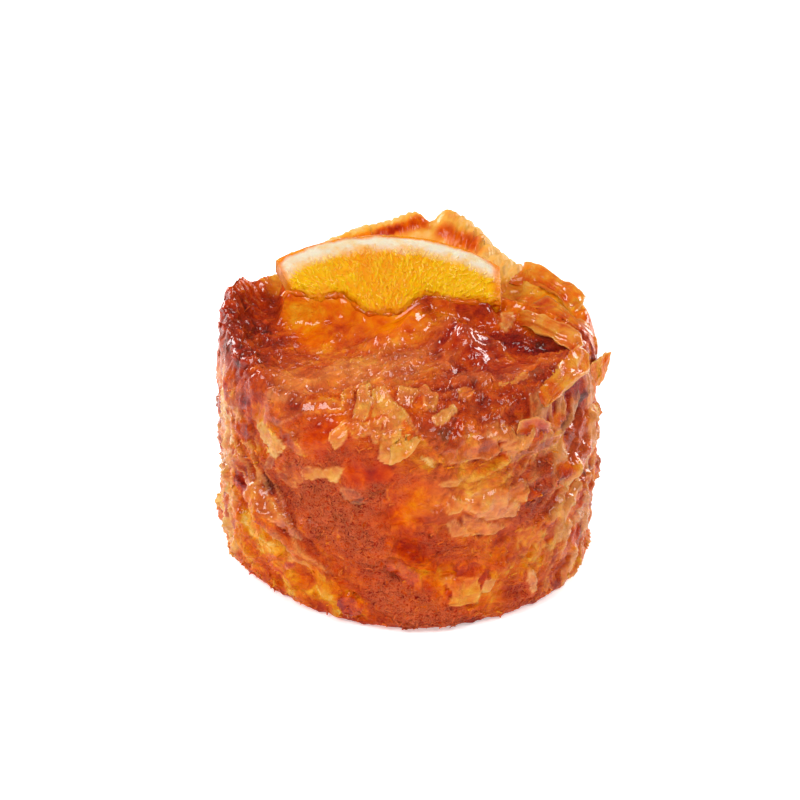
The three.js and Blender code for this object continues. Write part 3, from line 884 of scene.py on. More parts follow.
@dataclass(frozen=True)
class FiloFinish:
    """Baked filo with its glaze of syrup."""

    name: str = "baked_filo"
    mottle: float = 0.6
    relief: float = 0.0008
    soak: float = 0.12
    depth: float = 0.0009
    glaze: float = 0.9
    bare_gloss: float = 0.02
    gloss_roughness: float = 0.08
    tint: str = "FFFFFF"
    spread: Triple = (1.0, 0.32, 0.1)

    def material(self) -> bpy.types.Material:
        """Builds the material, which reads how the mesh is baked, wet, calmed and streaked.

        Returns:
            The finished material.
        """
        material, wires, shader = principled(self.name)
        look = wires.add("ShaderNodeGroup", node_tree=BakedFilo.group())
        for label in ("Bake", "Pale", "Fuzz", "Calm", "Sweep"):
            wires.feed(look.inputs[label], wires.attribute(label.lower()))
        look.inputs["Mottle"].default_value = self.mottle
        bump = wires.add("ShaderNodeBump", {"Distance": self.relief, "Height": look.outputs["Height"]})
        tinted = wires.mix(1.0, look.outputs["Color"], linear(self.tint), "MULTIPLY")
        for socket, value in {
                "Base Color": tinted, "Roughness": look.outputs["Roughness"],
                "Normal": bump.outputs["Normal"], "Specular IOR Level": self.bare_gloss,
                "Coat Weight": wires.math("MULTIPLY", wires.attribute("wet"), self.glaze),
                "Coat Roughness": self.gloss_roughness, "Subsurface Weight": self.soak,
                "Subsurface Radius": self.spread, "Subsurface Scale": self.depth}.items():
            wires.feed(shader.inputs[socket], value)
        return material


@dataclass(frozen=True)
class CandiedFinish:
    """Candied orange: peel, white pith and moist flesh."""

    name: str = "candied_orange_flesh"
    peel: str = "F29000"
    deep_peel: str = "DC6800"
    pith: str = "EEE0C6"
    clear_pith: str = "EECA90"
    flesh: str = "FFB600"
    ripe_flesh: str = "FF8C00"
    gloss: float = 0.12
    roughness: float = 0.2
    soak: float = 0.5
    # Emission that brightens the flesh's shade, though it is no lamp: painted glow
    glow: float = 0.0
    wander: float = 3.4
    fleck: float = 1.1
    pith_span: Pair = (1.0, 2.0)
    flesh_span: Pair = (3.4, 6.6)
    clear_span: Pair = (-0.04, 0.16)
    deep_span: Pair = (-0.12, 0.16)
    relief: float = 0.0005
    coat: float = 0.06
    coat_roughness: float = 0.1
    spread: Triple = (1.0, 0.7, 0.15)
    depth: float = 0.003

    BROAD = {"scale": 260, "detail": 5, "rough": 0.65}
    FINE = {"scale": 1500, "detail": 4, "rough": 0.6, "warp": 0.6}

    def material(self) -> bpy.types.Material:
        """Builds the material, which reads how far each place is from the peel.

        Returns:
            The finished material.
        """
        material, wires, shader = principled(self.name)
        place = wires.add("ShaderNodeTexCoord").outputs["Object"]
        broad, fine = wires.noise(place, **self.BROAD), wires.noise(place, **self.FINE)
        depth = wires.math("MULTIPLY_ADD", broad, self.wander, wires.attribute("rind"))
        ripe = wires.math("MULTIPLY_ADD", fine, self.fleck, wires.attribute("ripe"), clamp=True)
        flesh = wires.mix(ripe, linear(self.flesh), linear(self.ripe_flesh))
        pith = wires.mix(wires.span(broad, *self.clear_span), linear(self.pith), linear(self.clear_pith))
        inner = wires.mix(wires.span(depth, *self.flesh_span), pith, flesh)
        peel = wires.mix(wires.span(broad, *self.deep_span), linear(self.peel), linear(self.deep_peel))
        whole = wires.mix(wires.span(depth, *self.pith_span), peel, inner)
        bump = wires.add("ShaderNodeBump", {"Distance": self.relief, "Height": fine})
        # The cut share is peel on the slice's ends and orange painted in place of shade on its torn faces:
        # painted light
        for socket, value in {
                "Base Color": wires.mix(wires.attribute("cut"), whole, peel), "Roughness": self.roughness,
                "Emission Color": linear(self.ripe_flesh), "Emission Strength": self.glow,
                "Normal": bump.outputs["Normal"], "Specular IOR Level": self.gloss,
                "Coat Weight": self.coat, "Coat Roughness": self.coat_roughness,
                "Subsurface Weight": self.soak, "Subsurface Radius": self.spread,
                "Subsurface Scale": self.depth}.items():
            wires.feed(shader.inputs[socket], value)
        return material


@dataclass(frozen=True)
class SyrupFinish:
    """Clear amber syrup, thick enough to hide what is under it."""

    name: str = "amber_syrup"
    colour: str = "CC4E00"
    light_colour: str = "E87400"
    cloud_span: Pair = (-0.2, 0.25)
    roughness: float = 0.06
    gloss: float = 0.5
    soak: float = 0.6
    spread: Triple = (1.0, 0.45, 0.08)
    depth: float = 0.004

    CLOUD = {"scale": 180, "detail": 3}

    def material(self) -> bpy.types.Material:
        """Builds the material.

        Returns:
            The finished material.
        """
        material, wires, shader = principled(self.name)
        place = wires.add("ShaderNodeTexCoord").outputs["Object"]
        cloud = wires.span(wires.noise(place, **self.CLOUD), *self.cloud_span)
        for socket, value in {
                "Base Color": wires.mix(cloud, linear(self.colour), linear(self.light_colour)),
                "Roughness": self.roughness, "Specular IOR Level": self.gloss,
                "Subsurface Weight": self.soak, "Subsurface Radius": self.spread,
                "Subsurface Scale": self.depth}.items():
            wires.feed(shader.inputs[socket], value)
        return material


def make_piece(name: str, points: Array, faces: Faces, values: dict[str, Array],
               material: bpy.types.Material) -> Piece:
    """Makes one finished piece.

    Args:
        name: The piece's name.
        points: Its corners in millimetres.
        faces: Its faces, each a list of corners.
        values: Values of each corner that its material reads.
        material: Its material.

    Returns:
        The new object, with its place in its mesh.
    """
    mesh = bpy.data.meshes.new(name)
    mesh.from_pydata((points * MM).tolist(), [], faces)
    for label, numbers in values.items():
        layer = mesh.attributes.new(label, "FLOAT", "POINT")
        layer.data.foreach_set("value", np.asarray(numbers, dtype=np.float32))
    mesh.shade_smooth()
    mesh.materials.append(material)
    return place_mesh(name, mesh)


def place_mesh(name: str, mesh: bpy.types.Mesh) -> Piece:
    """Puts a mesh into the scene.

    Args:
        name: The object's name.
        mesh: The mesh.

    Returns:
        The new object, at the origin.
    """
    piece = bpy.data.objects.new(name, mesh)
    bpy.context.scene.collection.objects.link(piece)
    return piece


class Growth(Wiring):
    """A geometry tree with named inputs, grown on a mesh and kept as a plain mesh."""

    RANDOM_IN, RANDOM_OUT = (2, 3, 8), 1

    def __init__(self, name: str, inputs: dict[str, tuple[str, object]]) -> None:
        """Makes an empty tree.

        Args:
            name: The tree's name.
            inputs: The kind and the value of each named input.
        """
        super().__init__(bpy.data.node_groups.new(name, "GeometryNodeTree"))
        self.tree.interface.new_socket("Geometry", in_out="INPUT", socket_type="NodeSocketGeometry")
        self._values = {}
        for label, (kind, value) in inputs.items():
            socket = self.tree.interface.new_socket(label, in_out="INPUT", socket_type=kind)
            self._values[socket.identifier] = value
        self.tree.interface.new_socket("Geometry", in_out="OUTPUT", socket_type="NodeSocketGeometry")
        self.given = self.add("NodeGroupInput").outputs

    def named(self, label: str) -> Socket:
        """Reads one of the mesh's own values."""
        return self.add("GeometryNodeInputNamedAttribute", {"Name": label}).outputs["Attribute"]

    def between(self, low: object, high: object, seed: int) -> Socket:
        """Draws a random value for each place.

        Args:
            low: The least value.
            high: The greatest value.
            seed: What the drawing starts from.

        Returns:
            The values.
        """
        node = self.add("FunctionNodeRandomValue", data_type="FLOAT")
        for position, value in zip(self.RANDOM_IN, (low, high, seed)):
            self.feed(node.inputs[position], value)
        return node.outputs[self.RANDOM_OUT]

    def keep(self, geometry: Socket, label: str, value: object, domain: str) -> Socket:
        """Stores a named value with the geometry.

        Args:
            geometry: What it is stored with.
            label: Its name.
            value: The value.
            domain: The kind of element that holds it.

        Returns:
            The geometry with its value.
        """
        node = self.add("GeometryNodeStoreNamedAttribute", {"Geometry": geometry, "Name": label},
                        data_type="FLOAT", domain=domain)
        self.feed(node.inputs["Value"], value)
        return node.outputs[0]

    def scatter(self, density: object, factor: object, seed: int) -> bpy.types.Node:
        """Spreads places over the mesh's faces.

        Args:
            density: How many there are to a square metre.
            factor: Where they may be, from 0 to 1.
            seed: What the drawing starts from.

        Returns:
            The node that spreads them.
        """
        node = self.add("GeometryNodeDistributePointsOnFaces",
                        {"Mesh": self.given["Geometry"], "Seed": seed}, distribute_method="RANDOM")
        self.feed(node.inputs["Density"], self.math("MULTIPLY", density, factor))
        return node

    def grow(self, name: str, base: bpy.types.Mesh, geometry: Socket) -> Piece:
        """Ends the tree, runs it on a mesh and keeps what comes out.

        Args:
            name: The new piece's name.
            base: The mesh that the tree starts from.
            geometry: The last socket before instances are made real.

        Returns:
            The finished piece, a plain mesh.
        """
        real = self.add("GeometryNodeRealizeInstances", {"Geometry": geometry}).outputs[0]
        smooth = self.add("GeometryNodeSetShadeSmooth", {"Geometry": real}).outputs[0]
        dressed = self.add("GeometryNodeSetMaterial", {
            "Geometry": smooth, "Material": self.given["Material"]})
        self.add("NodeGroupOutput", {"Geometry": dressed.outputs[0]})
        holder = place_mesh(name, base)
        modifier = holder.modifiers.new(name, "NODES")
        modifier.node_group = self.tree
        for identifier, value in self._values.items():
            modifier[identifier] = value
        graph = bpy.context.evaluated_depsgraph_get()
        mesh = bpy.data.meshes.new_from_object(holder.evaluated_get(graph), depsgraph=graph)
        holder.modifiers.remove(modifier)
        bpy.data.objects.remove(holder)
        return place_mesh(name, mesh)


@dataclass
class OrangeSlice:
    """The piece of candied slice: peel and pith round its back, torn flesh at its front.

    Its own plane has u to the right, v up the slope and w square to its upper face.
    """

    orange_radius: float = 40
    width: float = 49
    reach: float = 24.5
    thickness: float = 6
    tilt: float = 22.5
    roll: float = 2
    place: Triple = (-4.3, -1.9, 56)
    left_tuck: float = 3.8
    edge_share: float = 0.4
    side_sharpness: int = 10
    end_sharpness: int = 8
    torn_level: float = 7.4
    tip: tuple[float, float, float, float] = (5.8, -1.3, 2.5, 10)
    right_sag: Triple = (1.8, 8, 17)
    left_sag: Triple = (1.4, -15, 4)
    sac_size: Pair = (1.5, 3.6)
    sac_depth: float = 0.36
    flesh_span: Pair = (3.8, 6.2)
    cells: tuple[int, int, int] = (156, 72, 16)
    seed: int = 31

    TEAR = (Layer(Kind.HILLS, 1.1, 3.7),)
    FRAY, FRAY_SIZE, FACE_LENGTH = 0.8, 1.6, 40
    PLUMP = (Layer(Kind.HILLS, 0.5, 6),)
    SKIN_GRAIN, SKIN_GRAIN_SIZE = 0.12, 1.3
    PORES = (Layer(Kind.LUMPS, 0.3, 1.1), Layer(Kind.HILLS, 0.5, 5))
    PEEL_FACE = (0.97, 1.0)
    RIPE_BASE, SAC_SHADE = 0.15, 0.6
    RIPE_CORE, CORE_PLACE, CORE_WIDTH = 0.5, -3, 10
    RIPE_CLOUD, CLOUD_SIZE, CLOUD_SPAN = 0.25, 7, (-0.2, 0.6)
    RIPE_SIDE, SIDE_SPAN = 1.2, (-0.9, -0.2)
    CUT_SHARE, RIGHT_CUT, LEFT_CUT = 0.9, (0.9, 0.97), (0.95, 1.0)
    LOWER_SPAN, LOWER_RISE, TORN_RISE = (-0.98, -0.7), (0.02, 0.2), (0.01, 0.06)
    UPPER_SPAN, SAC_RISE = (0.98, 1), (0.03, 0.1)
    RIGHT_CLEAR, LEFT_CLEAR = (0.04, 0.12), (0.02, 0.05)

    def peel_edge(self, u: Array) -> Array:
        """Gives how far up the slope the peel's round edge runs."""
        return self.reach - self.orange_radius + np.sqrt(self.orange_radius ** 2 - u ** 2)

    def torn_edge(self, u: Array) -> Array:
        """Runs the torn edge, with a blunt tip and two shallow sags.

        Args:
            u: Places across the slice.

        Returns:
            How far up the slope it is at each.
        """
        length, middle, *slope = self.tip
        right, *bend = self.right_sag
        left, place, width = self.left_sag
        tip = length * (1 - smoothstep(np.abs(u - middle), *slope))
        return self.torn_level - tip - right * smoothstep(u, *bend) - left * bell(u - place, width)

    def to_pie(self, local: Array) -> Array:
        """Takes points of the slice's own plane into the pie's frame.

        Args:
            local: The points' u, v and w.

        Returns:
            Their x, y and z.
        """
        a, b = math.radians(self.tilt), math.radians(self.roll)
        lean = np.array([[1, 0, 0], [0, math.cos(a), -math.sin(a)], [0, math.sin(a), math.cos(a)]])
        bank = np.array([[math.cos(b), 0, math.sin(b)], [0, 1, 0], [-math.sin(b), 0, math.cos(b)]])
        return local @ (lean @ bank).T + np.array(self.place)

    def _lattice(self) -> tuple[Array, Faces]:
        """Makes the closed skin of a box's lattice.

        Returns:
            Lattice places from -1 to 1 along each axis, and the faces between them.
        """
        counts = np.array(self.cells)
        index = -np.ones(counts + 1, dtype=int)
        grid = np.stack(np.meshgrid(*(np.arange(c + 1) for c in counts), indexing="ij"), axis=-1)
        skin = np.any((grid == 0) | (grid == counts), axis=-1)
        index[skin] = np.arange(skin.sum())
        faces: Faces = []
        for axis in range(3):
            for end in (0, -1):
                outward = (end == -1) == (axis != 1)
                faces += grid_quads(np.take(index, end, axis=axis))[:, ::1 if outward else -1].tolist()
        return 2 * grid[skin] / counts - 1, faces

    def build(self) -> Piece:
        """Builds the slice with its torn flesh, pith and pored peel.

        Returns:
            The finished piece.
        """
        grain = Grain(self.seed)
        box, faces = self._lattice()
        a, b, c = box.T
        half = self.width / 2
        rise = (b + 1) / 2
        u = half * a + self.left_tuck * np.maximum(0, -a) * (1 - rise)
        w = self.thickness / 2 * c
        seen = np.stack([u, self.FACE_LENGTH * rise, w], axis=1)
        torn = grain.pile(np.stack([u, w, w], axis=1), self.TEAR)
        torn = torn + self.FRAY * grain.clouds(seen, self.FRAY_SIZE, 2)
        v = lerp(self.torn_edge(u) + torn * (1 - rise) ** 3, self.peel_edge(half * a), rise)
        rind = self.peel_edge(half * a) - v
        rounding = 1 - self.edge_share * np.maximum(a ** self.side_sharpness, b ** self.end_sharpness)
        flat = np.stack([u, v, w], axis=1)
        plump = grain.pile(flat, self.PLUMP)
        flesh = smoothstep(rind, *self.flesh_span)
        sacs = self._sacs(u, v, grain)
        skin_height = self.sac_depth * sacs * flesh + self.SKIN_GRAIN * grain.clouds(
            flat, self.SKIN_GRAIN_SIZE, 3)
        w = w * rounding + (plump + skin_height) * c - self.thickness / 2
        pores = grain.pile(flat, self.PORES) * smoothstep(b, *self.PEEL_FACE)
        local = np.stack([u, v - pores, w], axis=1)
        cloudy = smoothstep(grain.hills(flat, self.CLOUD_SIZE), *self.CLOUD_SPAN)
        # Valleys between the sacs are painted deeper orange: painted shade
        ripe = (self.RIPE_CORE * bell(u - self.CORE_PLACE, self.CORE_WIDTH) + self.RIPE_CLOUD * cloudy
                - self.SAC_SHADE * sacs + self.RIPE_BASE)
        # The slice's sides below its upper face and its underside are painted deeper orange where shade
        # falls: painted shade
        ripe = np.maximum(ripe, self.RIPE_SIDE * smoothstep(-c, *self.SIDE_SPAN))
        # Peel colour on the cut ends, and orange painted in place of shade on the torn edge and lower faces:
        # painted light
        cut = self.CUT_SHARE * np.maximum(smoothstep(a, *self.RIGHT_CUT), smoothstep(-a, *self.LEFT_CUT))
        cut = np.maximum(cut, smoothstep(-c, *self.LOWER_SPAN) * (1 - smoothstep(rise, *self.LOWER_RISE)))
        cut = np.maximum(cut, 1 - smoothstep(rise, *self.TORN_RISE))
        sac = flesh * smoothstep(c, *self.UPPER_SPAN) * smoothstep(rise, *self.SAC_RISE)
        sac = sac * smoothstep(1 - a, *self.RIGHT_CLEAR) * smoothstep(1 + a, *self.LEFT_CLEAR)
        values = {"rind": rind, "ripe": ripe, "cut": cut, "sac": sac}
        return make_piece("candied_slice", self.to_pie(local), faces, values, CandiedFinish().material())

    def _sacs(self, u: Array, v: Array, grain: Grain) -> Array:
        """Swells the juice sacs, which point at the middle of the orange.

        Args:
            u: Places across the slice.
            v: Their places up the slope.
            grain: The noise that shapes the sacs.

        Returns:
            The swelling, from 0 to about 1.
        """
        v_mid = v - (self.reach - self.orange_radius)
        out = np.hypot(u, v_mid)
        round_way = np.arctan2(u, v_mid) * self.orange_radius
        wide, long = self.sac_size
        return grain.lumps(np.stack([round_way / wide, out / long, np.zeros_like(u)], axis=1), 1.0)


@dataclass(frozen=True)
class LeafField:
    """What the torn leaves do at each corner of the drum."""

    height: Array
    tone: Array
    edge: Array


@dataclass
class TornLeaves:
    """Torn leaves of filo laid over one another all round the drum."""

    count: int = 420
    length: Pair = (5, 20)
    width: Pair = (3.5, 11)
    step: Pair = (0.2, 0.55)
    sides: int = 6
    edge_width: float = 0.45
    lean: float = 0.5
    wrinkle: float = 0.5
    wrinkle_size: Triple = (7, 1.7, 3.7)
    shade: float = 0.12
    fray: float = 0.16
    fray_size: float = 2.2
    depth: float = 5
    usual: float = 0.9
    seed: int = 12

    def lay(self, drum: Array, outward: Array, grain: Grain) -> LeafField:
        """Lays the leaves one after another.

        Args:
            drum: Corners of the drum.
            outward: The way each corner faces.
            grain: The noise that frays and wrinkles the leaves.

        Returns:
            The height that the leaves add, their tones and their torn edges.
        """
        rng = np.random.default_rng(self.seed)
        height, tone, edge = (np.zeros(len(drum)) for _ in range(3))
        fray = self.fray * grain.clouds(drum, self.fray_size, 3)
        long, wide, apart = self.wrinkle_size
        for number in range(self.count):
            middle = rng.integers(len(drum))
            length, width = rng.uniform(*self.length), rng.uniform(*self.width)
            step, lean = rng.uniform(*self.step), rng.uniform(-self.lean, self.lean)
            wrinkle, shade = rng.uniform(0, self.wrinkle), rng.normal(0, self.shade)
            turns = ragged_turns(rng, self.sides)
            facing = outward[middle]
            along = unit(np.cross(facing, rng.normal(size=3)))
            away = drum - drum[middle]
            near = close_by(away, facing, self.depth, length)
            x, y = away[near] @ along, away[near] @ np.cross(facing, along)
            reach = np.max([2 * x / length * np.cos(t) + 2 * y / width * np.sin(t) for t in turns], axis=0)
            inside = (1 - reach - fray[near]) * width / 2
            cover = smoothstep(inside, 0, self.edge_width)
            stretched = np.stack([x / long, y / wide, np.full_like(x, apart * number)], axis=1)
            folds = grain.ridges(stretched, 1.0)
            height[near] += cover * (step * (1 + lean * 2 * x / length) + wrinkle * folds)
            tone[near] = lerp(tone[near], shade, cover)
            edge[near] = np.maximum(edge[near] * (1 - cover), cover * bell(inside, 2 * self.edge_width))
        return LeafField(height - self.usual, tone, edge)


@dataclass
class StrayFlakes:
    """The many smaller flakes all over the wall, more of them on the far side."""

    count: int = 150
    size: Pair = (1.2, 4.6)
    sides: int = 6
    wall_radius: float = 41
    anywhere: Pair = (-180, 180)
    far_side: Pair = (-15, 200)
    level: Pair = (4, 46)
    stretch: Pair = (0.4, 1)
    lift: float = 0.7
    bake: Pair = (0.5, 0.1)
    pale: Pair = (-0.15, 0.25)
    wet: Pair = (0.1, 0.7)
    bulge: float = 0.15
    seed: int = 77

    def draw(self) -> list[Flake]:
        """Draws the flakes.

        Returns:
            Flakes with random places, outlines and baking.
        """
        rng = np.random.default_rng(self.seed)
        flakes = []
        for _ in range(self.count):
            turn = rng.choice([rng.uniform(*self.anywhere), rng.uniform(*self.far_side)])
            level, size = rng.uniform(*self.level), rng.uniform(*self.size)
            stretch, heading = rng.uniform(*self.stretch), rng.uniform(0, HALF_TURN)
            around = ragged_turns(rng, self.sides)
            x, y = size * np.cos(around), size * stretch * np.sin(around)
            across = np.degrees((x * math.cos(heading) - y * math.sin(heading)) / self.wall_radius)
            up = x * math.sin(heading) + y * math.cos(heading)
            corners = tuple(wall(turn + a, level + b, c)
                            for a, b, c in zip(across, up, rng.uniform(0, self.lift, self.sides)))
            bake, pale = rng.normal(*self.bake), max(0.0, rng.uniform(*self.pale))
            flakes.append(Flake(corners, bake, pale, rng.uniform(*self.wet), self.bulge))
        return flakes


@dataclass
class Crust:
    """What each corner of the drum is like: its relief and how it is baked."""

    relief: Array
    bake: Array
    pale: Array
    fuzz: Array
    wet: Array
    mottle: Array


@dataclass
class FiloDrum:
    """The drum of crumpled filo, on the same plan as its solid and with finer relief."""

    seat: OrangeSlice
    wall_radius: float = 41
    rim_height: float = 48
    base_round: float = 4
    rim_round: float = 8
    dome_rise: float = 6
    cells_across: int = 146
    wall_rows: int = 126
    seat_depth: float = 1.3
    clear: float = 120
    seed: int = 5

    # The main form
    BEND_STEPS, SPINE_STEPS = 60, 40
    RAGGED, RAGGED_SIZE, FRAY_SHIFT, FRAY_SIZE = 0.35, 5, 60, 1.5
    FADING = (0.06, 0.94)
    SWAY = (Layer(Kind.HILLS, 1.6, 9),)
    SWEEP = (Layer(Kind.HILLS, 7, 24, 31), Layer(Kind.HILLS, 3, 11, 37))
    SWEEP_BACK, SWEEP_RIGHT = 0.8, 0.3
    PLEAT_LENGTH, PLEAT_SHIFT, PLEAT_SHARPNESS, PLEAT_LEVEL = 5, 5.1, 2.0, 0.2
    SEAT_SIDE, SEAT_FRONT, SEAT_BACK = 3, 3.5, 7
    SEAT_SINK, SINK_SPAN = 4.2, (0.6, 1.4)
    SWELL = (Layer(Kind.HILLS, 1.3, 26),)
    FOOT = (Layer(Kind.HILLS, 0.8, 3.1), Layer(Kind.HILLS, 0.5, 1.3))
    TUCK, TUCK_TURN, TUCK_WIDTH, TUCK_HEIGHT = 2.4, -138, 36, 15
    TOP_SPAN = (0.1, 0.9)
    # The crust: its relief, then its shades
    CRUMPLE = (Layer(Kind.RIDGES, 0.9, 9), Layer(Kind.FACETS, 1.3, 7.5), Layer(Kind.FACETS, 0.6, 3.6, 40))
    LEVEL_SPAN, LEVEL_CALM = (0.4, 0.8), 0.4
    STREAK_LENGTH, STREAK_WIDTH = 10, 1.8
    WRINKLE, FINE_WRINKLE, FINE_SCALE, FINE_SHIFT = 0.44, 0.24, 1.9, 9
    BUBBLES, BUBBLE_LEVEL = (Layer(Kind.LUMPS, 1.3, 3.4), Layer(Kind.LUMPS, 0.6, 1.7, 30)), 0.7
    FIBRES = (Layer(Kind.RIDGES, 0.3, 1.5, 55), Layer(Kind.HILLS, 0.12, 0.9, 70))
    STEEP_SPAN, CALMING, FUZZ_CALM, STEEP_CALM = (0.35, 0.8), 0.85, 0.45, 0.7
    PLAIN = {"bake": 0.58, "pale": 0.0, "fuzz": 0.25, "wet": 0.3, "calm": 0.0, "burnt": 0.0}
    BAKE_CLOUD, BAKE_CLOUD_SIZE, PATCH_CORE = 0.12, 14, 1.25
    DRY_TURN, DRY_WIDTH, DRY_SPAN, DRYNESS = -95, 42, (0.3, 0.7), 0.8
    MOTTLE_SIZE, HOLLOW_SPAN, BUBBLE_SPAN, DRAWN_SPAN = 4.5, (-0.9, 0.6), (-0.4, 0.9), (0.2, 0.7)
    TONE_FUZZ, TONE_CALM, DRAWN_LEVEL = 0.6, 0.7, 0.75
    # Painted shade in hollows, painted highlights on torn edges and pleat crests; SHADE also darkens the
    # foot and gives random mottle
    HOLLOW_SHADE, EDGE_SHADE, SHADE, FOOT_HEIGHT = 0.2, 0.1, 0.12, 3.5
    EDGE_PALE, DRAWN_PALE = 0.05, 0.4
    LOOSE_BASE, LOOSE_FUZZ, LOOSE_BURNT, LOOSE_CALM, LOOSE_WET = 0.05, 0.5, 0.2, 0.8, 0.2
    CRUMB_SPAN, BARE_SPAN = (2, 7), (0.9, 1.8)
    # The pressed flakes
    FLAKE_CREASES = (Layer(Kind.FACETS, 0.55, 3.2, 20), Layer(Kind.RIDGES, 0.25, 1.9, 90))
    FLAKE_DEPTH, FLAKE_FRAY, FLAKE_EDGE, ASIDE = 5, 0.28, (-0.05, 0.3), 1e-3
    LIFT_SHARE, LEAST_LIFT, UNDER_SHARE, CREASE_SHARE = 0.55, 0.1, 0.4, 1.3
    RIM_PLACE, RIM_WIDTH, FREE_LIFT = 0.15, 0.3, 0.6
    FLAT_SHADE, FLAKE_FUZZ, FLAKE_PALE, FLAKE_COVER = 0.12, 0.05, (0.35, 1.1), 0.9
    LINE_START, LINE_MOST, LINE_SHADE = 0.12, 0.3, 0.16
    FLAKE_MOTTLE, MOTTLE_PALE = 0.25, 0.5

    def __post_init__(self) -> None:
        """Makes the drum's main form, which the relief is laid on."""
        self._grain = Grain(self.seed)
        self._rest, self._outward, self._quads, base = self._plain()
        self._faces: Faces = self._quads.tolist() + [base]
        self._shape = self._form()
        self._ground = self._carrier(self._shape)
        self._ragged = 1 + self.RAGGED * self._grain.clouds(self._shape, self.RAGGED_SIZE, 3)
        self._fray = self._grain.clouds(self._shape + self.FRAY_SHIFT, self.FRAY_SIZE, 2)
        self.skin = self._ground

    def _carrier(self, points: Array) -> BVHTree:
        """Makes a form of the drum into something that flakes can be laid on."""
        return BVHTree.FromPolygons(points.tolist(), self._faces)

    def at(self, spot: Spot) -> Array:
        """Gives a spot's place off the drum's main form.

        Args:
            spot: The spot, seen from above on the top and from outside on the wall.

        Returns:
            The place in millimetres.
        """
        if spot.side is Side.TOP:
            start, way = Vector((spot.first, spot.second, self.clear)), Vector((0, 0, -1))
        else:
            angle = math.radians(spot.first)
            way = Vector((-math.cos(angle), -math.sin(angle), 0))
            start = Vector((0, 0, spot.second)) - way * self.clear
        place, facing, _, _ = self._ground.ray_cast(start, way)
        if place is None:
            place, facing, _, _ = self._ground.find_nearest(start + way * (self.clear - self.rim_height))
        return np.array(place + facing * spot.lift)

    def _plain(self) -> tuple[Array, Array, Array, list[int]]:
        """Makes the plain drum: a turned wall, a disc on top and a flat base.

        Returns:
            Its corners, the way each faces, its quads and the corners of its base.
        """
        r, h, foot, rim = self.wall_radius, self.rim_height, self.base_round, self.rim_round
        t = np.linspace(0, 1, self.BEND_STEPS)[:, None]
        bends = []
        for ends in (((r - foot, 0.0), (r, 0.0), (r, foot)), ((r, h - rim), (r, h), (r - rim, h))):
            a, b, c = (np.array(p) for p in ends)
            bends.append((1 - t) ** 2 * a + 2 * t * (1 - t) * b + t ** 2 * c)
        line = np.vstack(bends)
        run = np.concatenate([[0], np.cumsum(np.linalg.norm(np.diff(line, axis=0), axis=1))])
        even = np.linspace(0, run[-1], self.wall_rows + 1)
        profile = np.stack([np.interp(even, run, line[:, k]) for k in (0, 1)], axis=1)
        slope = unit(np.gradient(profile, axis=0))
        around = 4 * self.cells_across
        angle = FULL_TURN * np.arange(around) / around
        ring = np.stack([np.cos(angle), np.sin(angle)], axis=1)
        level, lean = np.repeat(profile[:, None, 1:], around, 1), np.repeat(-slope[:, None, :1], around, 1)
        rows = np.concatenate([profile[:, None, :1] * ring, level], axis=2)
        out = np.concatenate([slope[:, None, 1:] * ring, lean], axis=2)
        index = np.arange(rows.shape[0] * around).reshape(-1, around)
        after = np.roll(index, -1, axis=1)
        quads = np.stack([index[:-1], after[:-1], after[1:], index[1:]], axis=-1).reshape(-1, 4)
        disc, disc_quads = self._disc(index[-1], index.size)
        corners = np.vstack([rows.reshape(-1, 3), disc])
        facing = np.vstack([out.reshape(-1, 3), np.tile([0.0, 0.0, 1.0], (len(disc), 1))])
        return corners, facing, np.vstack([quads, disc_quads]), index[0][::-1].tolist()

    def _disc(self, edge: Array, start: int) -> tuple[Array, Array]:
        """Makes the top, a square grid pressed round, whose edge is the wall's last ring.

        Args:
            edge: Corners of that ring.
            start: The number of the first new corner.

        Returns:
            The new corners and the top's quads.
        """
        n = self.cells_across
        reach, angle = square_to_disc(n)
        radius = (self.wall_radius - self.rim_round) * reach
        index = np.zeros((n + 1, n + 1), dtype=int)
        inner = np.zeros_like(index, dtype=bool)
        inner[1:-1, 1:-1] = True
        index[inner] = start + np.arange(inner.sum())
        index[~inner] = edge[np.round(angle[~inner] / FULL_TURN * len(edge)).astype(int) % len(edge)]
        x, y = radius * np.cos(angle), radius * np.sin(angle)
        corners = np.stack([x[inner], y[inner], np.full(inner.sum(), float(self.rim_height))], axis=1)
        return corners, grid_quads(index)

    def _nearness(self, start: Spot, end: Spot, reach: float) -> Array:
        """Measures how near each corner is to the line between two spots.

        Args:
            start: The line's first spot.
            end: Its last spot.
            reach: How far it reaches round itself.

        Returns:
            1 on the line, falling to 0 beyond its reach.
        """
        first, last = self.at(start), self.at(end)
        run = last - first
        share = np.clip((self._shape - first) @ run / max(run @ run, TINY), 0, 1)
        away = np.linalg.norm(self._shape - first - share[:, None] * run, axis=1)
        return bell(away * self._ragged, reach)

    def _standing(self) -> Array:
        """Stands the folds up.

        Returns:
            How far each corner of the top is raised.
        """
        x, y = self._rest[:, :1], self._rest[:, 1:2]
        rise = np.zeros(len(self._rest))
        for fold in TOP_FOLDS:
            spine = catmull_rom(np.array(fold.path, dtype=float), self.SPINE_STEPS)
            away = np.hypot(x - spine[:, 0], y - spine[:, 1])
            near = np.argmin(away, axis=1)
            rise += spine[near, 2] * np.exp(-((np.min(away, axis=1) / fold.width) ** fold.softness))
        return rise

    def _creased(self) -> Array:
        """Lays the wall's creases.

        Returns:
            How far they push each corner out.
        """
        angle = np.arctan2(self._rest[:, 1], self._rest[:, 0])
        height = self._rest[:, 2]
        total = np.zeros(len(self._rest))
        for crease in WALL_CREASES:
            ends = [np.stack([turn_between(degrees, angle) * self.wall_radius, level - height], axis=1)
                    for degrees, level in (crease.start, crease.end)]
            run = ends[1] - ends[0]
            share = np.clip(-np.sum(ends[0] * run, axis=1) / np.sum(run * run, axis=1), 0, 1)
            away = np.linalg.norm(ends[0] + share[:, None] * run, axis=1)
            fading = np.sqrt(np.sin(HALF_TURN * lerp(*self.FADING, share)))
            total += crease.rise * bell(away, crease.width) * fading
        return total

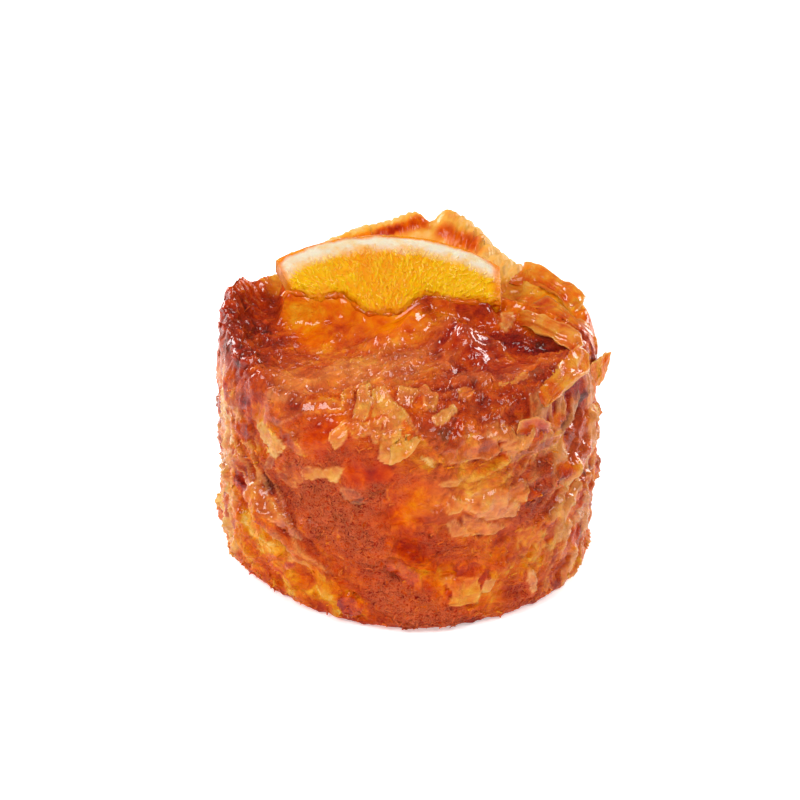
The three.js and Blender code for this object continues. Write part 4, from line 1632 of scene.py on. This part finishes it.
    def _pleated(self) -> tuple[Array, Array]:
        """Lays the wrinkles that lie one way.

        Returns:
            Their relief, and how far each corner is across them, which fine streaks follow.
        """
        rest, grain = self._rest, self._grain
        angle = np.arctan2(rest[:, 1], rest[:, 0])
        sway = grain.pile(rest, self.SWAY)
        total = np.zeros(len(rest))
        sweep = rest[:, 2] + self.SWEEP_BACK * rest[:, 1] * self._outward[:, 2]
        sweep = sweep + self.SWEEP_RIGHT * rest[:, 0] + grain.pile(rest, self.SWEEP)
        for number, pleats in enumerate(PLEATS):
            middle_x, middle_y = ((a + b) / 2 for a, b in zip((pleats.start.first, pleats.start.second),
                                                              (pleats.end.first, pleats.end.second)))
            if pleats.start.side is Side.WALL:
                flat = (-turn_between(middle_x, angle) * self.wall_radius, rest[:, 2] - middle_y)
            else:
                flat = (rest[:, 0] - middle_x, rest[:, 1] - middle_y)
            heading = math.radians(pleats.heading)
            along = flat[0] * math.cos(heading) + flat[1] * math.sin(heading)
            across = flat[1] * math.cos(heading) - flat[0] * math.sin(heading) + sway
            stretched = np.stack([along / (self.PLEAT_LENGTH * pleats.spacing), across / pleats.spacing,
                                  np.full_like(along, self.PLEAT_SHIFT * number + 0.5)], axis=1)
            share = self._nearness(pleats.start, pleats.end, pleats.reach)
            wrinkles = grain.ridges(stretched, 1.0, self.PLEAT_SHARPNESS) + self.PLEAT_LEVEL
            total += share * pleats.depth * wrinkles
            sweep = lerp(sweep, across, share)
        return total, sweep

    def _bed(self) -> tuple[Array, Array]:
        """Gives the bed that the slice is pressed into.

        Returns:
            The bed's height, and how far each corner belongs to it.
        """
        x0, y0, z0 = self.seat.place
        x, y = self._rest[:, 0], self._rest[:, 1]
        half = self.seat.width / 2
        u = x - x0
        v = (y - y0) / math.cos(math.radians(self.seat.tilt))
        held = np.clip(u, -half, half)
        low, high = self.seat.torn_edge(held), self.seat.peel_edge(held)
        outside = np.max([(np.abs(u) - half) / self.SEAT_SIDE + 1, (low - v) / self.SEAT_FRONT,
                          (v - high) / self.SEAT_BACK], axis=0)
        within = np.min([half - np.abs(u), v - low, high - v], axis=0)
        slope, bank = math.tan(math.radians(self.seat.tilt)), math.tan(math.radians(self.seat.roll))
        sunk = self.SEAT_SINK * smoothstep(within, *self.SINK_SPAN)
        return z0 + slope * (y - y0) - bank * u - self.seat_depth - sunk, 1 - smoothstep(outside, 0, 1)

    def _form(self) -> Array:
        """Gives the drum its main form: its swelling, creases, foot, dome, folds and bed.

        Returns:
            Its corners.
        """
        rest, grain = self._rest, self._grain
        radius = np.hypot(rest[:, 0], rest[:, 1])
        ring = rest[:, :2] / np.maximum(radius, TINY)[:, None]
        angle = np.arctan2(rest[:, 1], rest[:, 0])
        on_top = smoothstep(self._outward[:, 2], *self.TOP_SPAN)
        on_wall = 1 - np.abs(self._outward[:, 2])
        lifted = smoothstep(rest[:, 2], 0, self.base_round)
        relief = grain.pile(rest, self.SWELL) + self._creased() * on_wall
        points = rest + self._outward * (relief * lifted)[:, None]
        tuck = self.TUCK * bell(turn_between(self.TUCK_TURN, angle), math.radians(self.TUCK_WIDTH))
        tuck = tuck * (1 - smoothstep(rest[:, 2], 0, self.TUCK_HEIGHT))
        foot = (grain.pile(rest, self.FOOT) * (1 - lifted) - tuck) * radius / self.wall_radius
        points[:, :2] += ring * foot[:, None]
        dome = self.dome_rise * (1 - (radius / self.wall_radius) ** 2)
        bed_top, bed = self._bed()
        points[:, 2] = lerp(points[:, 2] + (dome + self._standing()) * on_top, bed_top, bed * on_top)
        return points

    def _press(self, flake: Flake, crumple: Array, crust: Crust) -> None:
        """Presses one flake onto the drum, as relief with a torn edge.

        Args:
            flake: What the flake is like.
            crumple: The creases of crumpled filo at each corner of the drum.
            crust: What the drum is like so far, which is changed.
        """
        corners = np.array([self.at(spot) for spot in flake.corners])
        middle = corners.mean(axis=0)
        facing = loop_facing(corners - middle)
        along = unit(np.cross(facing, [0.0, 0.0, 1.0]) + self.ASIDE)
        axes = np.stack([along, np.cross(facing, along)], axis=1)
        outline = (corners - middle) @ axes
        away = self._shape - middle
        reach = np.max(np.linalg.norm(corners - middle, axis=1)) + 1
        near = close_by(away, facing, self.FLAKE_DEPTH, reach)
        x, y = (away[near] @ axes).T
        inside = depth_inside(x, y, outline) + self.FLAKE_FRAY * self._fray[near]
        cover = smoothstep(inside, *self.FLAKE_EDGE)
        plan = np.column_stack([np.ones(len(outline)), outline])
        slope = np.linalg.lstsq(plan, np.array([spot.lift for spot in flake.corners]), rcond=None)[0]
        lift = self.LIFT_SHARE * np.maximum(self.LEAST_LIFT, slope[0] + slope[1] * x + slope[2] * y)
        creases = self.CREASE_SHARE * flake.crumple * crumple[near]
        under = self.UNDER_SHARE * crust.relief[near] + lift + creases
        crust.relief[near] = lerp(crust.relief[near], under, cover)
        rim = cover * bell(inside - self.RIM_PLACE, self.RIM_WIDTH)
        free = smoothstep(lift, 0, self.FREE_LIFT)
        for layer, level in ((crust.bake, flake.bake + self.FLAT_SHADE * (1 - free)),
                             (crust.fuzz, self.FLAKE_FUZZ), (crust.wet, flake.wet),
                             (crust.pale, flake.pale * lerp(*self.FLAKE_PALE, free))):
            layer[near] = lerp(layer[near], level, self.FLAKE_COVER * cover)
        # The flake's rim and its crease crests are painted lighter and paler: painted highlight
        lined = np.maximum(rim, 2 * cover * np.clip(crumple[near] - self.LINE_START, 0, self.LINE_MOST))
        crust.bake[near] += cover * (self.FLAKE_MOTTLE * crust.mottle[near] - self.LINE_SHADE * lined)
        paler = flake.pale * (lined - self.MOTTLE_PALE * crust.mottle[near])
        crust.pale[near] = np.clip(crust.pale[near] + cover * paler, 0, 1)

    def _baked(self) -> list[Array]:
        """Mixes the patches into how each corner is baked.

        Returns:
            The values of a patch at each corner, in the order of the plain crust's.
        """
        cloud = self.BAKE_CLOUD * self._grain.clouds(self._shape, self.BAKE_CLOUD_SIZE, 3)
        layers = {label: np.full(len(self._shape), level) for label, level in self.PLAIN.items()}
        layers["bake"] = layers["bake"] + cloud
        for patch in PATCHES:
            share = np.minimum(1, self.PATCH_CORE * self._nearness(patch.start, patch.end, patch.reach))
            for label in layers:
                layers[label] = lerp(layers[label], getattr(patch, label), share)
        return list(layers.values())

    def build(self) -> Piece:
        """Builds the drum with its relief and how each place of it is baked.

        Returns:
            The finished piece.
        """
        grain, shape = self._grain, self._shape
        height, facing = shape[:, 2], corner_normals(shape, self._quads)
        free = smoothstep(self._rest[:, 2], 0, self.base_round) * (1 - self._bed()[1])

        bake, pale, fuzz, wet, calm, burnt = self._baked()
        turned = turn_between(self.DRY_TURN, np.arctan2(shape[:, 1], shape[:, 0]))
        dry = bell(turned, math.radians(self.DRY_WIDTH)) * (1 - smoothstep(facing[:, 2], *self.DRY_SPAN))
        wet = wet * (1 - self.DRYNESS * dry)

        leaves = TornLeaves().lay(shape, facing, grain)
        pleated, sweep = self._pleated()
        level = smoothstep(facing[:, 2], *self.LEVEL_SPAN)
        crumple = grain.pile(shape, self.CRUMPLE) * (1 - self.LEVEL_CALM * level)
        drawn_out = np.column_stack([shape[:, :2] / self.STREAK_LENGTH,
                                     sweep / self.STREAK_WIDTH + shape[:, 2] / self.STREAK_LENGTH])
        wrinkles = self.WRINKLE * grain.ridges(drawn_out, 1.0) + self.FINE_WRINKLE * grain.ridges(
            self.FINE_SCALE * drawn_out + self.FINE_SHIFT, 1.0)
        bubbles = grain.pile(shape, self.BUBBLES) - self.BUBBLE_LEVEL
        fibres = grain.pile(shape, self.FIBRES) * fuzz
        steep = np.maximum(0, self._outward[:, 2] * (1 - smoothstep(facing[:, 2], *self.STEEP_SPAN)))
        busy = (1 - self.CALMING * calm) * (1 - self.FUZZ_CALM * fuzz) * (1 - self.STEEP_CALM * steep)
        folded = crumple + leaves.height + pleated + wrinkles
        relief = (1 - burnt) * busy * folded + burnt * bubbles + fibres

        mottle = grain.clouds(shape, self.MOTTLE_SIZE, 4)
        # Hollows of the crumple and pleats are painted darker and their crests lighter: painted shade and
        # highlight
        hollow = 0.5 - smoothstep(crumple + pleated, *self.HOLLOW_SPAN)
        tone = leaves.tone * (1 - burnt) * (1 - self.TONE_FUZZ * fuzz) * (1 - self.TONE_CALM * calm)
        # The torn leaves' edges are painted lighter and paler, as thin filo catching the light: painted
        # highlight
        bake = bake + tone + (self.HOLLOW_SHADE * hollow - self.EDGE_SHADE * leaves.edge) * busy
        # Pleat crests are painted lighter and paler, less so on level faces: painted sheen
        drawn = smoothstep(pleated, *self.DRAWN_SPAN) * (1 - burnt) * (1 - calm)
        drawn = drawn * (1 - self.DRAWN_LEVEL * level)
        at_foot = 1 - smoothstep(height, 0, self.FOOT_HEIGHT)
        # Bubble tops in burnt places are painted lighter: painted highlight. The colour darkens towards the
        # foot, and the mottle is random tone.
        bubbly = burnt * smoothstep(bubbles, *self.BUBBLE_SPAN)
        bake = bake + self.SHADE * (at_foot + mottle - bubbly - drawn)
        pale = pale + self.EDGE_PALE * leaves.edge * (1 - burnt) * busy + self.DRAWN_PALE * drawn

        crust = Crust(relief, bake, np.clip(pale, 0, 1), fuzz, wet, mottle)
        creased = grain.pile(shape, self.FLAKE_CREASES)
        for flake in (*StrayFlakes().draw(), *FLAKES):
            self._press(flake, creased, crust)
        points = shape + facing * (crust.relief * free)[:, None]
        self.skin = self._carrier(points)
        loose = (self.LOOSE_BASE + self.LOOSE_FUZZ * crust.fuzz + self.LOOSE_BURNT * burnt
                 - self.LOOSE_CALM * calm - self.LOOSE_WET * crust.wet)
        crumbly = 1 - smoothstep(height, *self.CRUMB_SPAN)
        loose = np.maximum(free * np.clip(loose, 0, 1), crumbly) * smoothstep(height, *self.BARE_SPAN)
        values = {"bake": np.clip(crust.bake, LEAST_BAKE, 1), "pale": crust.pale, "fuzz": crust.fuzz,
                  "wet": crust.wet, "calm": calm, "sweep": sweep * MM, "loose": loose}
        return make_piece("filo_drum", points, self._faces, values, FiloFinish().material())


@dataclass(frozen=True)
class Leaf:
    """The middle surface of one flake as a grid, and how it is baked.

    rim is 1 along its torn edge, floor the least height over the drum's skin, and drawn half along the
    wrinkles that run its whole length and minus a half between them.
    """

    grid: Array
    rim: Array
    floor: Array
    drawn: Array
    bake: float
    pale: float
    wet: float


@dataclass
class Shards:
    """Torn shards and bent leaves of filo that stand off the drum."""

    drum: FiloDrum
    cells: int = 22
    sheet_cells: tuple[int, int] = (72, 24)
    thickness: float = 0.18
    clearance: float = 0.14
    fray: float = 0.3
    wrinkles: Pair = (0.9, 1.4)
    wrinkle_depth: float = 0.5
    seed: int = 77

    CREASES = (Layer(Kind.FACETS, 0.5, 3.2), Layer(Kind.RIDGES, 0.22, 1.9))
    SHEET_CREASES = (Layer(Kind.FACETS, 0.3, 4.2), Layer(Kind.RIDGES, 0.12, 2.6))
    SHEET_FRAY = (Layer(Kind.HILLS, 1.0, 1.3), Layer(Kind.HILLS, 2.4, 4))
    FRAY_SIZE, WRINKLE_DRIFT = 1.1, 0.1
    RIM_SHARPNESS, END_SHARPNESS, SIDE_SHARPNESS = 6, 30, 10
    CLOUD_SIZE, SUNK_SPAN, FUZZ = 3.4, (-0.5, 0.7), 0.08
    CLOUD_SHADE, SUNK_SHADE, RIM_SHADE, WRINKLE_SHADE = 0.2, 0.16, 0.16, 0.12
    CLOUD_PALE, RIM_PALE, WRINKLE_PALE = 0.9, 0.7, 0.16

    def __post_init__(self) -> None:
        """Sets up the noise that creases and frays the flakes."""
        self._grain = Grain(self.seed)

    def _shard(self, flake: Flake) -> Leaf:
        """Lays out one shard.

        Args:
            flake: What the shard is like.

        Returns:
            Its middle surface.
        """
        corners = np.array([self.drum.at(spot) for spot in flake.corners])
        lifts = np.array([spot.lift for spot in flake.corners])
        middle = corners.mean(axis=0)
        outward = middle - np.array([0, 0, self.drum.rim_height / 2])
        facing = loop_facing(corners - middle)
        if facing @ outward < 0:
            corners, lifts, facing = corners[::-1], lifts[::-1], -facing
        reach, angle = square_to_disc(self.cells)
        along = angle / FULL_TURN * len(corners)
        part = along.astype(int) % len(corners)
        after = (part + 1) % len(corners)
        share = (along - along.astype(int))[..., None]
        edge = lerp(corners[part], corners[after], share) - middle
        frayed = self.fray * self._grain.hills((edge + corners[0]).reshape(-1, 3), self.FRAY_SIZE)
        edge = edge * (1 + frayed.reshape(reach.shape) / np.linalg.norm(edge, axis=-1))[..., None]
        swell = flake.bulge * (1 - reach ** 2)[..., None] * facing
        grid = middle + edge * reach[..., None] + swell
        floor = lerp(lifts.mean() + flake.bulge, lerp(lifts[part], lifts[after], share[..., 0]), reach)
        creased = self._grain.pile(grid.reshape(-1, 3), self.CREASES).reshape(reach.shape)
        grid = grid + facing * (flake.crumple * creased)[..., None]
        return Leaf(grid, reach ** self.RIM_SHARPNESS, floor, np.zeros_like(reach), flake.bake, flake.pale,
                    flake.wet)

    def _sheet(self, sheet: Sheet) -> Leaf:
        """Lays out one larger leaf.

        Args:
            sheet: What the leaf is like.

        Returns:
            Its middle surface.
        """
        net = np.array([[[*self.drum.at(spot), spot.lift] for spot in row] for row in sheet.rows])
        long, wide = self.sheet_cells
        across = catmull_rom(net, wide + 1)
        smooth = catmull_rom(across.transpose(1, 0, 2), long + 1)
        grid, floor = smooth[..., :3], smooth[..., 3]
        s, t = np.meshgrid(np.linspace(-1, 1, long + 1), np.linspace(-1, 1, wide + 1), indexing="ij")
        facing = unit(np.cross(np.gradient(grid, axis=0), np.gradient(grid, axis=1)))
        if facing[..., 2].mean() < 0:
            grid, floor, facing = grid[:, ::-1], floor[:, ::-1], -facing[:, ::-1]
        flat = grid.reshape(-1, 3)
        creased = self._grain.pile(flat, self.SHEET_CREASES)
        frayed = self.fray * self._grain.pile(flat, self.SHEET_FRAY)
        lengthwise = np.stack([self.wrinkles[0] * s, self.wrinkles[1] * t,
                               self.WRINKLE_DRIFT * grid[..., 2]], axis=-1)
        drawn = self._grain.ridges(lengthwise.reshape(-1, 3), 1.0).reshape(s.shape)
        swell = sheet.bulge * (1 - t ** 2) + creased.reshape(s.shape) + self.wrinkle_depth * drawn
        away = unit(np.gradient(grid, axis=1))
        grid = grid + facing * swell[..., None] + away * (frayed.reshape(s.shape) * t ** 3)[..., None]
        rim = np.maximum(s ** self.END_SHARPNESS, t ** self.SIDE_SHARPNESS)
        return Leaf(grid, rim, floor, drawn, sheet.bake, sheet.pale, sheet.wet)

    def _clear(self, leaf: Leaf) -> Array:
        """Pushes a leaf out of the drum's skin, except where it grows from it.

        Args:
            leaf: The leaf as it was laid out.

        Returns:
            Its grid, pushed out.
        """
        flat = leaf.grid.reshape(-1, 3).copy()
        least = np.minimum(leaf.floor.ravel(), self.clearance)
        for number, point in enumerate(flat):
            near, facing, _, _ = self.drum.skin.find_nearest(Vector(point))
            height = (Vector(point) - near).dot(facing)
            if height < least[number]:
                flat[number] = point + np.array(facing) * (least[number] - height)
        return flat.reshape(leaf.grid.shape)

    def _close(self, grid: Array, start: int) -> tuple[Array, Faces]:
        """Gives a leaf its thickness.

        Args:
            grid: Its middle surface.
            start: The number of its first corner.

        Returns:
            Its corners, front before back, and the faces all round it.
        """
        rows, columns = grid.shape[:2]
        index = np.arange(rows * columns).reshape(rows, columns)
        quads = grid_quads(index)
        flat = grid.reshape(-1, 3)
        half = corner_normals(flat, quads) * self.thickness / 2
        loop = np.concatenate([index[:-1, 0], index[-1, :-1], index[:0:-1, -1], index[0, :0:-1]])
        after = np.roll(loop, -1)
        back = rows * columns
        sides = np.stack([loop, loop + back, after + back, after], axis=-1)
        faces = np.vstack([quads, quads[:, ::-1] + back, sides]) + start
        return np.vstack([flat + half, flat - half]), faces.tolist()

    def build(self) -> Piece:
        """Builds all the shards and leaves as one piece.

        Returns:
            The finished piece.
        """
        leaves = [self._shard(flake) for flake in SHARDS] + [self._sheet(sheet) for sheet in SHEETS]
        points, faces = [], []
        values: dict[str, list[Array]] = {"bake": [], "pale": [], "fuzz": [], "wet": []}
        start = 0
        for leaf in leaves:
            corners, leaf_faces = self._close(self._clear(leaf), start)
            start += len(corners)
            points.append(corners)
            faces += leaf_faces
            rim, drawn, low = (np.tile(part.ravel(), 2) for part in (leaf.rim, leaf.drawn, leaf.floor))
            cloud = self._grain.clouds(corners, self.CLOUD_SIZE, 3)
            sunk = 1 - smoothstep(low, *self.SUNK_SPAN)
            # Rims and wrinkle crests are painted lighter and paler and the wrinkles' hollows darker: painted
            # highlight and shade
            bake = (leaf.bake + self.CLOUD_SHADE * cloud + self.SUNK_SHADE * sunk - self.RIM_SHADE * rim
                    - self.WRINKLE_SHADE * drawn)
            pale = (leaf.pale * (1 - self.CLOUD_PALE * cloud) + self.RIM_PALE * rim
                    + self.WRINKLE_PALE * np.maximum(drawn, 0))
            values["bake"].append(np.clip(bake, LEAST_BAKE, 1))
            values["pale"].append(np.clip(pale * (1 - sunk), 0, 1))
            values["fuzz"].append(np.full(len(corners), self.FUZZ))
            values["wet"].append(np.full(len(corners), leaf.wet))
        joined = {label: np.concatenate(parts) for label, parts in values.items()}
        finish = FiloFinish("filo_leaf", mottle=0.3, relief=0.0004, soak=0.3, depth=0.0012, tint="F2DCBC")
        return make_piece("filo_flakes", np.vstack(points), faces, joined, finish.material())


@dataclass
class LooseFlakes:
    """Tiny curled shreds of filo that cling to the crust, most of them where it is rough."""

    density: float = 700000.0
    size: Pair = (0.4, 1.6)
    breadth: float = 0.22
    thickness: float = 0.12
    cuts: tuple[int, int, int] = (5, 2, 2)
    curl: float = 0.5
    lean: Pair = (0.4, 0.25)
    tone: Pair = (-0.2, 0.06)
    least_bake: float = 0.1
    pale: float = 0.1
    seed: int = 9

    def build(self, crust: bpy.types.Mesh) -> Piece:
        """Scatters the flakes over the crust.

        Args:
            crust: The drum's mesh, with its own values.

        Returns:
            The finished piece.
        """
        finish = FiloFinish("loose_filo", mottle=0.2, relief=0.0002, soak=0.3, depth=0.001)
        tree = Growth("Loose flakes", {
            "Density": ("NodeSocketFloat", self.density), "Smallest": ("NodeSocketFloat", self.size[0] * MM),
            "Largest": ("NodeSocketFloat", self.size[1] * MM),
            "Material": ("NodeSocketMaterial", finish.material())})
        places = tree.scatter(tree.given["Density"], tree.named("loose"), self.seed)
        cuts = {f"Vertices {axis}": count for axis, count in zip("XYZ", self.cuts)}
        size = (1, self.breadth, self.thickness)
        flat = tree.add("GeometryNodeMeshCube", {"Size": size, **cuts}).outputs[0]
        spot = tree.add("ShaderNodeSeparateXYZ",
                        {"Vector": tree.add("GeometryNodeInputPosition").outputs[0]}).outputs
        bend = tree.math("MULTIPLY", tree.math("MULTIPLY", spot["X"], spot["X"]), self.curl)
        twist = tree.math("MULTIPLY_ADD", spot["X"], spot["Y"], bend)
        curled = tree.add("GeometryNodeSetPosition",
                          {"Geometry": flat, "Offset": tree.vector(0.0, 0.0, twist)}).outputs[0]
        nod, tip = self.lean
        lean = tree.vector(tree.between(-nod, nod, 1), tree.between(-tip, tip, 2),
                           tree.between(0, FULL_TURN, 3))
        lean = tree.add("FunctionNodeEulerToRotation", {"Euler": lean}).outputs[0]
        turned = tree.add("FunctionNodeRotateRotation", {
            "Rotation": places.outputs["Rotation"], "Rotate By": lean}, rotation_space="LOCAL").outputs[0]
        size = tree.between(tree.given["Smallest"], tree.given["Largest"], 4)
        spread = tree.add("GeometryNodeInstanceOnPoints", {
            "Points": places.outputs["Points"], "Instance": curled, "Rotation": turned,
            "Scale": size}).outputs[0]
        tone = tree.math("ADD", tree.named("bake"), tree.between(*self.tone, 5))
        spread = tree.keep(spread, "bake", tree.math("MAXIMUM", tone, self.least_bake), "INSTANCE")
        spread = tree.keep(spread, "pale", tree.between(0.0, self.pale, 6), "INSTANCE")
        return tree.grow("loose_flakes", crust.copy(), spread)


@dataclass
class JuiceSacs:
    """The juice sacs of the slice's cut face, long grains that point at the middle of the orange."""

    slice_piece: OrangeSlice
    density: float = 1500000.0
    length: Pair = (0.9, 2.4)
    girth: float = 0.46
    plumpness: Pair = (0.7, 1.3)
    nod: float = 0.3
    stray: float = 0.7
    segments: int = 7
    rings: int = 5
    seed: int = 4

    def build(self, skin: bpy.types.Mesh) -> Piece:
        """Scatters the sacs over the flesh.

        Args:
            skin: The slice's mesh, with its own values.

        Returns:
            The finished piece.
        """
        core = self.slice_piece.reach - self.slice_piece.orange_radius
        centre = self.slice_piece.to_pie(np.array([[0.0, core, 0.0]]))[0] * MM
        # The sacs' small orange emission fills their shade: painted glow
        finish = CandiedFinish("juice_sacs", flesh="F6C400", ripe_flesh="F69400", gloss=0.4, roughness=0.09,
                               soak=0.0, glow=0.07)
        tree = Growth("Juice sacs", {
            "Density": ("NodeSocketFloat", self.density), "Centre": ("NodeSocketVector", tuple(centre)),
            "Shortest": ("NodeSocketFloat", self.length[0] * MM),
            "Longest": ("NodeSocketFloat", self.length[1] * MM),
            "Material": ("NodeSocketMaterial", finish.material())})
        places = tree.scatter(tree.given["Density"], tree.named("sac"), self.seed)
        sac = tree.add("GeometryNodeMeshUVSphere", {"Segments": self.segments, "Rings": self.rings,
                                                    "Radius": 0.5}).outputs[0]
        inward = tree.add("ShaderNodeVectorMath", operation="SUBTRACT")
        tree.feed(inward.inputs[0], tree.given["Centre"])
        tree.feed(inward.inputs[1], tree.add("GeometryNodeInputPosition").outputs[0])
        turned = tree.add("FunctionNodeAlignRotationToVector", {
            "Rotation": places.outputs["Rotation"], "Vector": inward.outputs[0]}, axis="Y", pivot_axis="Z")
        stray = tree.vector(tree.between(-self.nod, self.nod, 3), 0.0,
                            tree.between(-self.stray, self.stray, 4))
        stray = tree.add("FunctionNodeEulerToRotation", {"Euler": stray}).outputs[0]
        turned = tree.add("FunctionNodeRotateRotation", {"Rotation": turned.outputs[0], "Rotate By": stray},
                          rotation_space="LOCAL").outputs[0]
        long = tree.between(tree.given["Shortest"], tree.given["Longest"], 1)
        plump = tree.between(*(share * self.girth for share in self.plumpness), 2)
        wide = tree.math("MULTIPLY", tree.given["Shortest"], plump)
        spread = tree.add("GeometryNodeInstanceOnPoints", {
            "Points": places.outputs["Points"], "Instance": sac, "Rotation": turned,
            "Scale": tree.vector(wide, long, wide)}).outputs[0]
        return tree.grow("juice_sacs", skin.copy(), spread)


@dataclass
class SyrupBead:
    """The bead of syrup that has gathered along the slice's torn edge."""

    drum: FiloDrum
    radius: Pair = (0.2, 1.1)
    sink: float = 0.15
    reach: float = 0.46
    forward: float = 0.1
    level: float = -1.2
    swell_size: float = 5
    swell_span: Pair = (-0.5, 0.7)
    end_sharpness: int = 8
    least: float = 0.02
    steps: int = 160
    sides: int = 10
    seed: int = 21

    def build(self) -> Piece:
        """Runs the bead along the edge, on what the slice lies on.

        Returns:
            The finished piece.
        """
        seat = self.drum.seat
        u = np.linspace(-self.reach, self.reach, self.steps) * seat.width
        front = seat.torn_edge(u) - self.forward
        edge = seat.to_pie(np.stack([u, front, np.full_like(u, self.level)], axis=1))
        down = Vector((0, 0, -1))
        rests = [self.drum.skin.ray_cast(Vector((x, y, self.drum.clear)), down)[0] for x, y, _ in edge]
        line = np.array(rests) - np.array([0, 0, self.sink])
        line = np.maximum(line, lerp(line, edge, 0.5))
        swell = smoothstep(Grain(self.seed).clouds(line, self.swell_size, 3), *self.swell_span)
        taper = np.clip(1 - (2 * u / seat.width) ** self.end_sharpness, self.least, 1)
        radius = lerp(*self.radius, swell) * np.sqrt(taper)
        mesh = bpy.data.meshes.new("syrup_line")
        mesh.from_pydata((line * MM).tolist(), [(k, k + 1) for k in range(len(line) - 1)], [])
        layer = mesh.attributes.new("girth", "FLOAT", "POINT")
        layer.data.foreach_set("value", (radius * MM).astype(np.float32))
        tree = Growth("Syrup bead", {"Sides": ("NodeSocketInt", self.sides),
                                     "Material": ("NodeSocketMaterial", SyrupFinish().material())})
        curve = tree.add("GeometryNodeMeshToCurve", {"Mesh": tree.given["Geometry"]}).outputs[0]
        ring = tree.add("GeometryNodeCurvePrimitiveCircle", {"Resolution": tree.given["Sides"]})
        ring.inputs["Radius"].default_value = 1.0
        tube = tree.add("GeometryNodeCurveToMesh", {
            "Curve": curve, "Profile Curve": ring.outputs[0], "Scale": tree.named("girth"),
            "Fill Caps": True})
        return tree.grow("syrup_bead", mesh, tube.outputs[0])


@dataclass(frozen=True)
class SoftLight:
    """One large soft light, with its place in metres."""

    name: str
    place: Triple
    size: Pair
    power: float


@dataclass
class Studio:
    """The pale floor, the soft lights and the camera."""

    elevation: float = 28
    distance: float = 650
    aim: Triple = (-1.72, 0, 34.5)
    lens: float = 133.8
    sensor: float = 36
    floor_reach: float = 3.0
    floor_colour: Colour = (0.95, 0.95, 0.95, 1)
    floor_roughness: float = 0.6
    floor_glow: float = 0.45
    sky: float = 0.12
    lights: tuple[SoftLight, ...] = (
        SoftLight("left_rear_light", (-0.5, 0.42, 0.26), (0.28, 0.26), 3.4),
        SoftLight("right_rear_light", (0.5, 0.42, 0.26), (0.28, 0.26), 2.8),
        SoftLight("left_front_light", (-0.4, -0.42, 0.62), (0.35, 0.3), 3.9),
        SoftLight("right_front_light", (0.34, -0.42, 0.66), (0.3, 0.3), 3.0),
        SoftLight("overhead_light", (0.05, 0.25, 0.75), (0.15, 0.15), 0.6),
    )

    def build(self) -> None:
        """Lays the floor, hangs the lights and sets up the camera."""
        self._floor()
        target = Vector(self.aim) * MM
        for light in self.lights:
            self._hang(light, target)
        world = bpy.data.worlds.new("white_studio")
        world.use_nodes = True
        background = world.node_tree.nodes["Background"].inputs
        background["Color"].default_value, background["Strength"].default_value = WHITE, self.sky
        bpy.context.scene.world = world
        camera = bpy.data.cameras.new("photo_camera")
        camera.lens = self.lens
        camera.sensor_width = self.sensor
        stand = bpy.data.objects.new("photo_camera", camera)
        lift = math.radians(self.elevation)
        back = Vector((0, -math.cos(lift), math.sin(lift)))
        stand.location = target + back * self.distance * MM
        stand.rotation_euler = back.to_track_quat("Z", "Y").to_euler()
        bpy.context.scene.collection.objects.link(stand)
        bpy.context.scene.camera = stand
        bpy.context.scene.view_settings.view_transform = "Standard"

    def _floor(self) -> None:
        """Lays the plain pale floor."""
        reach = self.floor_reach
        mesh = bpy.data.meshes.new("pale_floor")
        mesh.from_pydata([(-reach, -reach, 0), (reach, -reach, 0), (reach, reach, 0), (-reach, reach, 0)],
                         [], [(0, 1, 2, 3)])
        material, wires, shader = principled("pale_floor")
        for socket, value in {"Base Color": self.floor_colour, "Roughness": self.floor_roughness,
                              "Emission Color": WHITE, "Emission Strength": self.floor_glow}.items():
            wires.feed(shader.inputs[socket], value)
        mesh.materials.append(material)
        place_mesh("pale_floor", mesh)

    def _hang(self, light: SoftLight, target: Vector) -> None:
        """Hangs one soft light.

        Args:
            light: What it is like.
            target: What it is turned to.
        """
        lamp = bpy.data.lights.new(light.name, "AREA")
        lamp.shape = "RECTANGLE"
        lamp.size, lamp.size_y = light.size
        lamp.energy = light.power
        holder = bpy.data.objects.new(light.name, lamp)
        holder.location = light.place
        holder.rotation_euler = (Vector(light.place) - target).to_track_quat("Z", "Y").to_euler()
        bpy.context.scene.collection.objects.link(holder)


def declare(piece: bpy.types.Object, slot: str, node: str | None = None) -> None:
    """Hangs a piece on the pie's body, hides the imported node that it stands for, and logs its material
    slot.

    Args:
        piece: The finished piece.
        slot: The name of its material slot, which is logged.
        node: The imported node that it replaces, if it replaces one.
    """
    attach(piece, BODY)
    if node:
        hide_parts(node)
    LOG.info("%s: %d faces on %s", piece.name, len(piece.data.polygons), slot)


def main() -> None:
    """Builds the pie's pieces in order and declares each of them."""
    logging.basicConfig(level=logging.INFO)
    Studio().build()
    candied = OrangeSlice()
    skin = candied.build()
    declare(skin, "candied_orange", "orange_slice")
    declare(JuiceSacs(candied).build(skin.data), "candied_orange")
    drum = FiloDrum(candied)
    crust = drum.build()
    declare(crust, "filo", "filo_pie")
    declare(LooseFlakes().build(crust.data), "filo")
    declare(Shards(drum).build(), "filo")
    declare(SyrupBead(drum).build(), "filo")


if __name__ == "__main__":
    main()
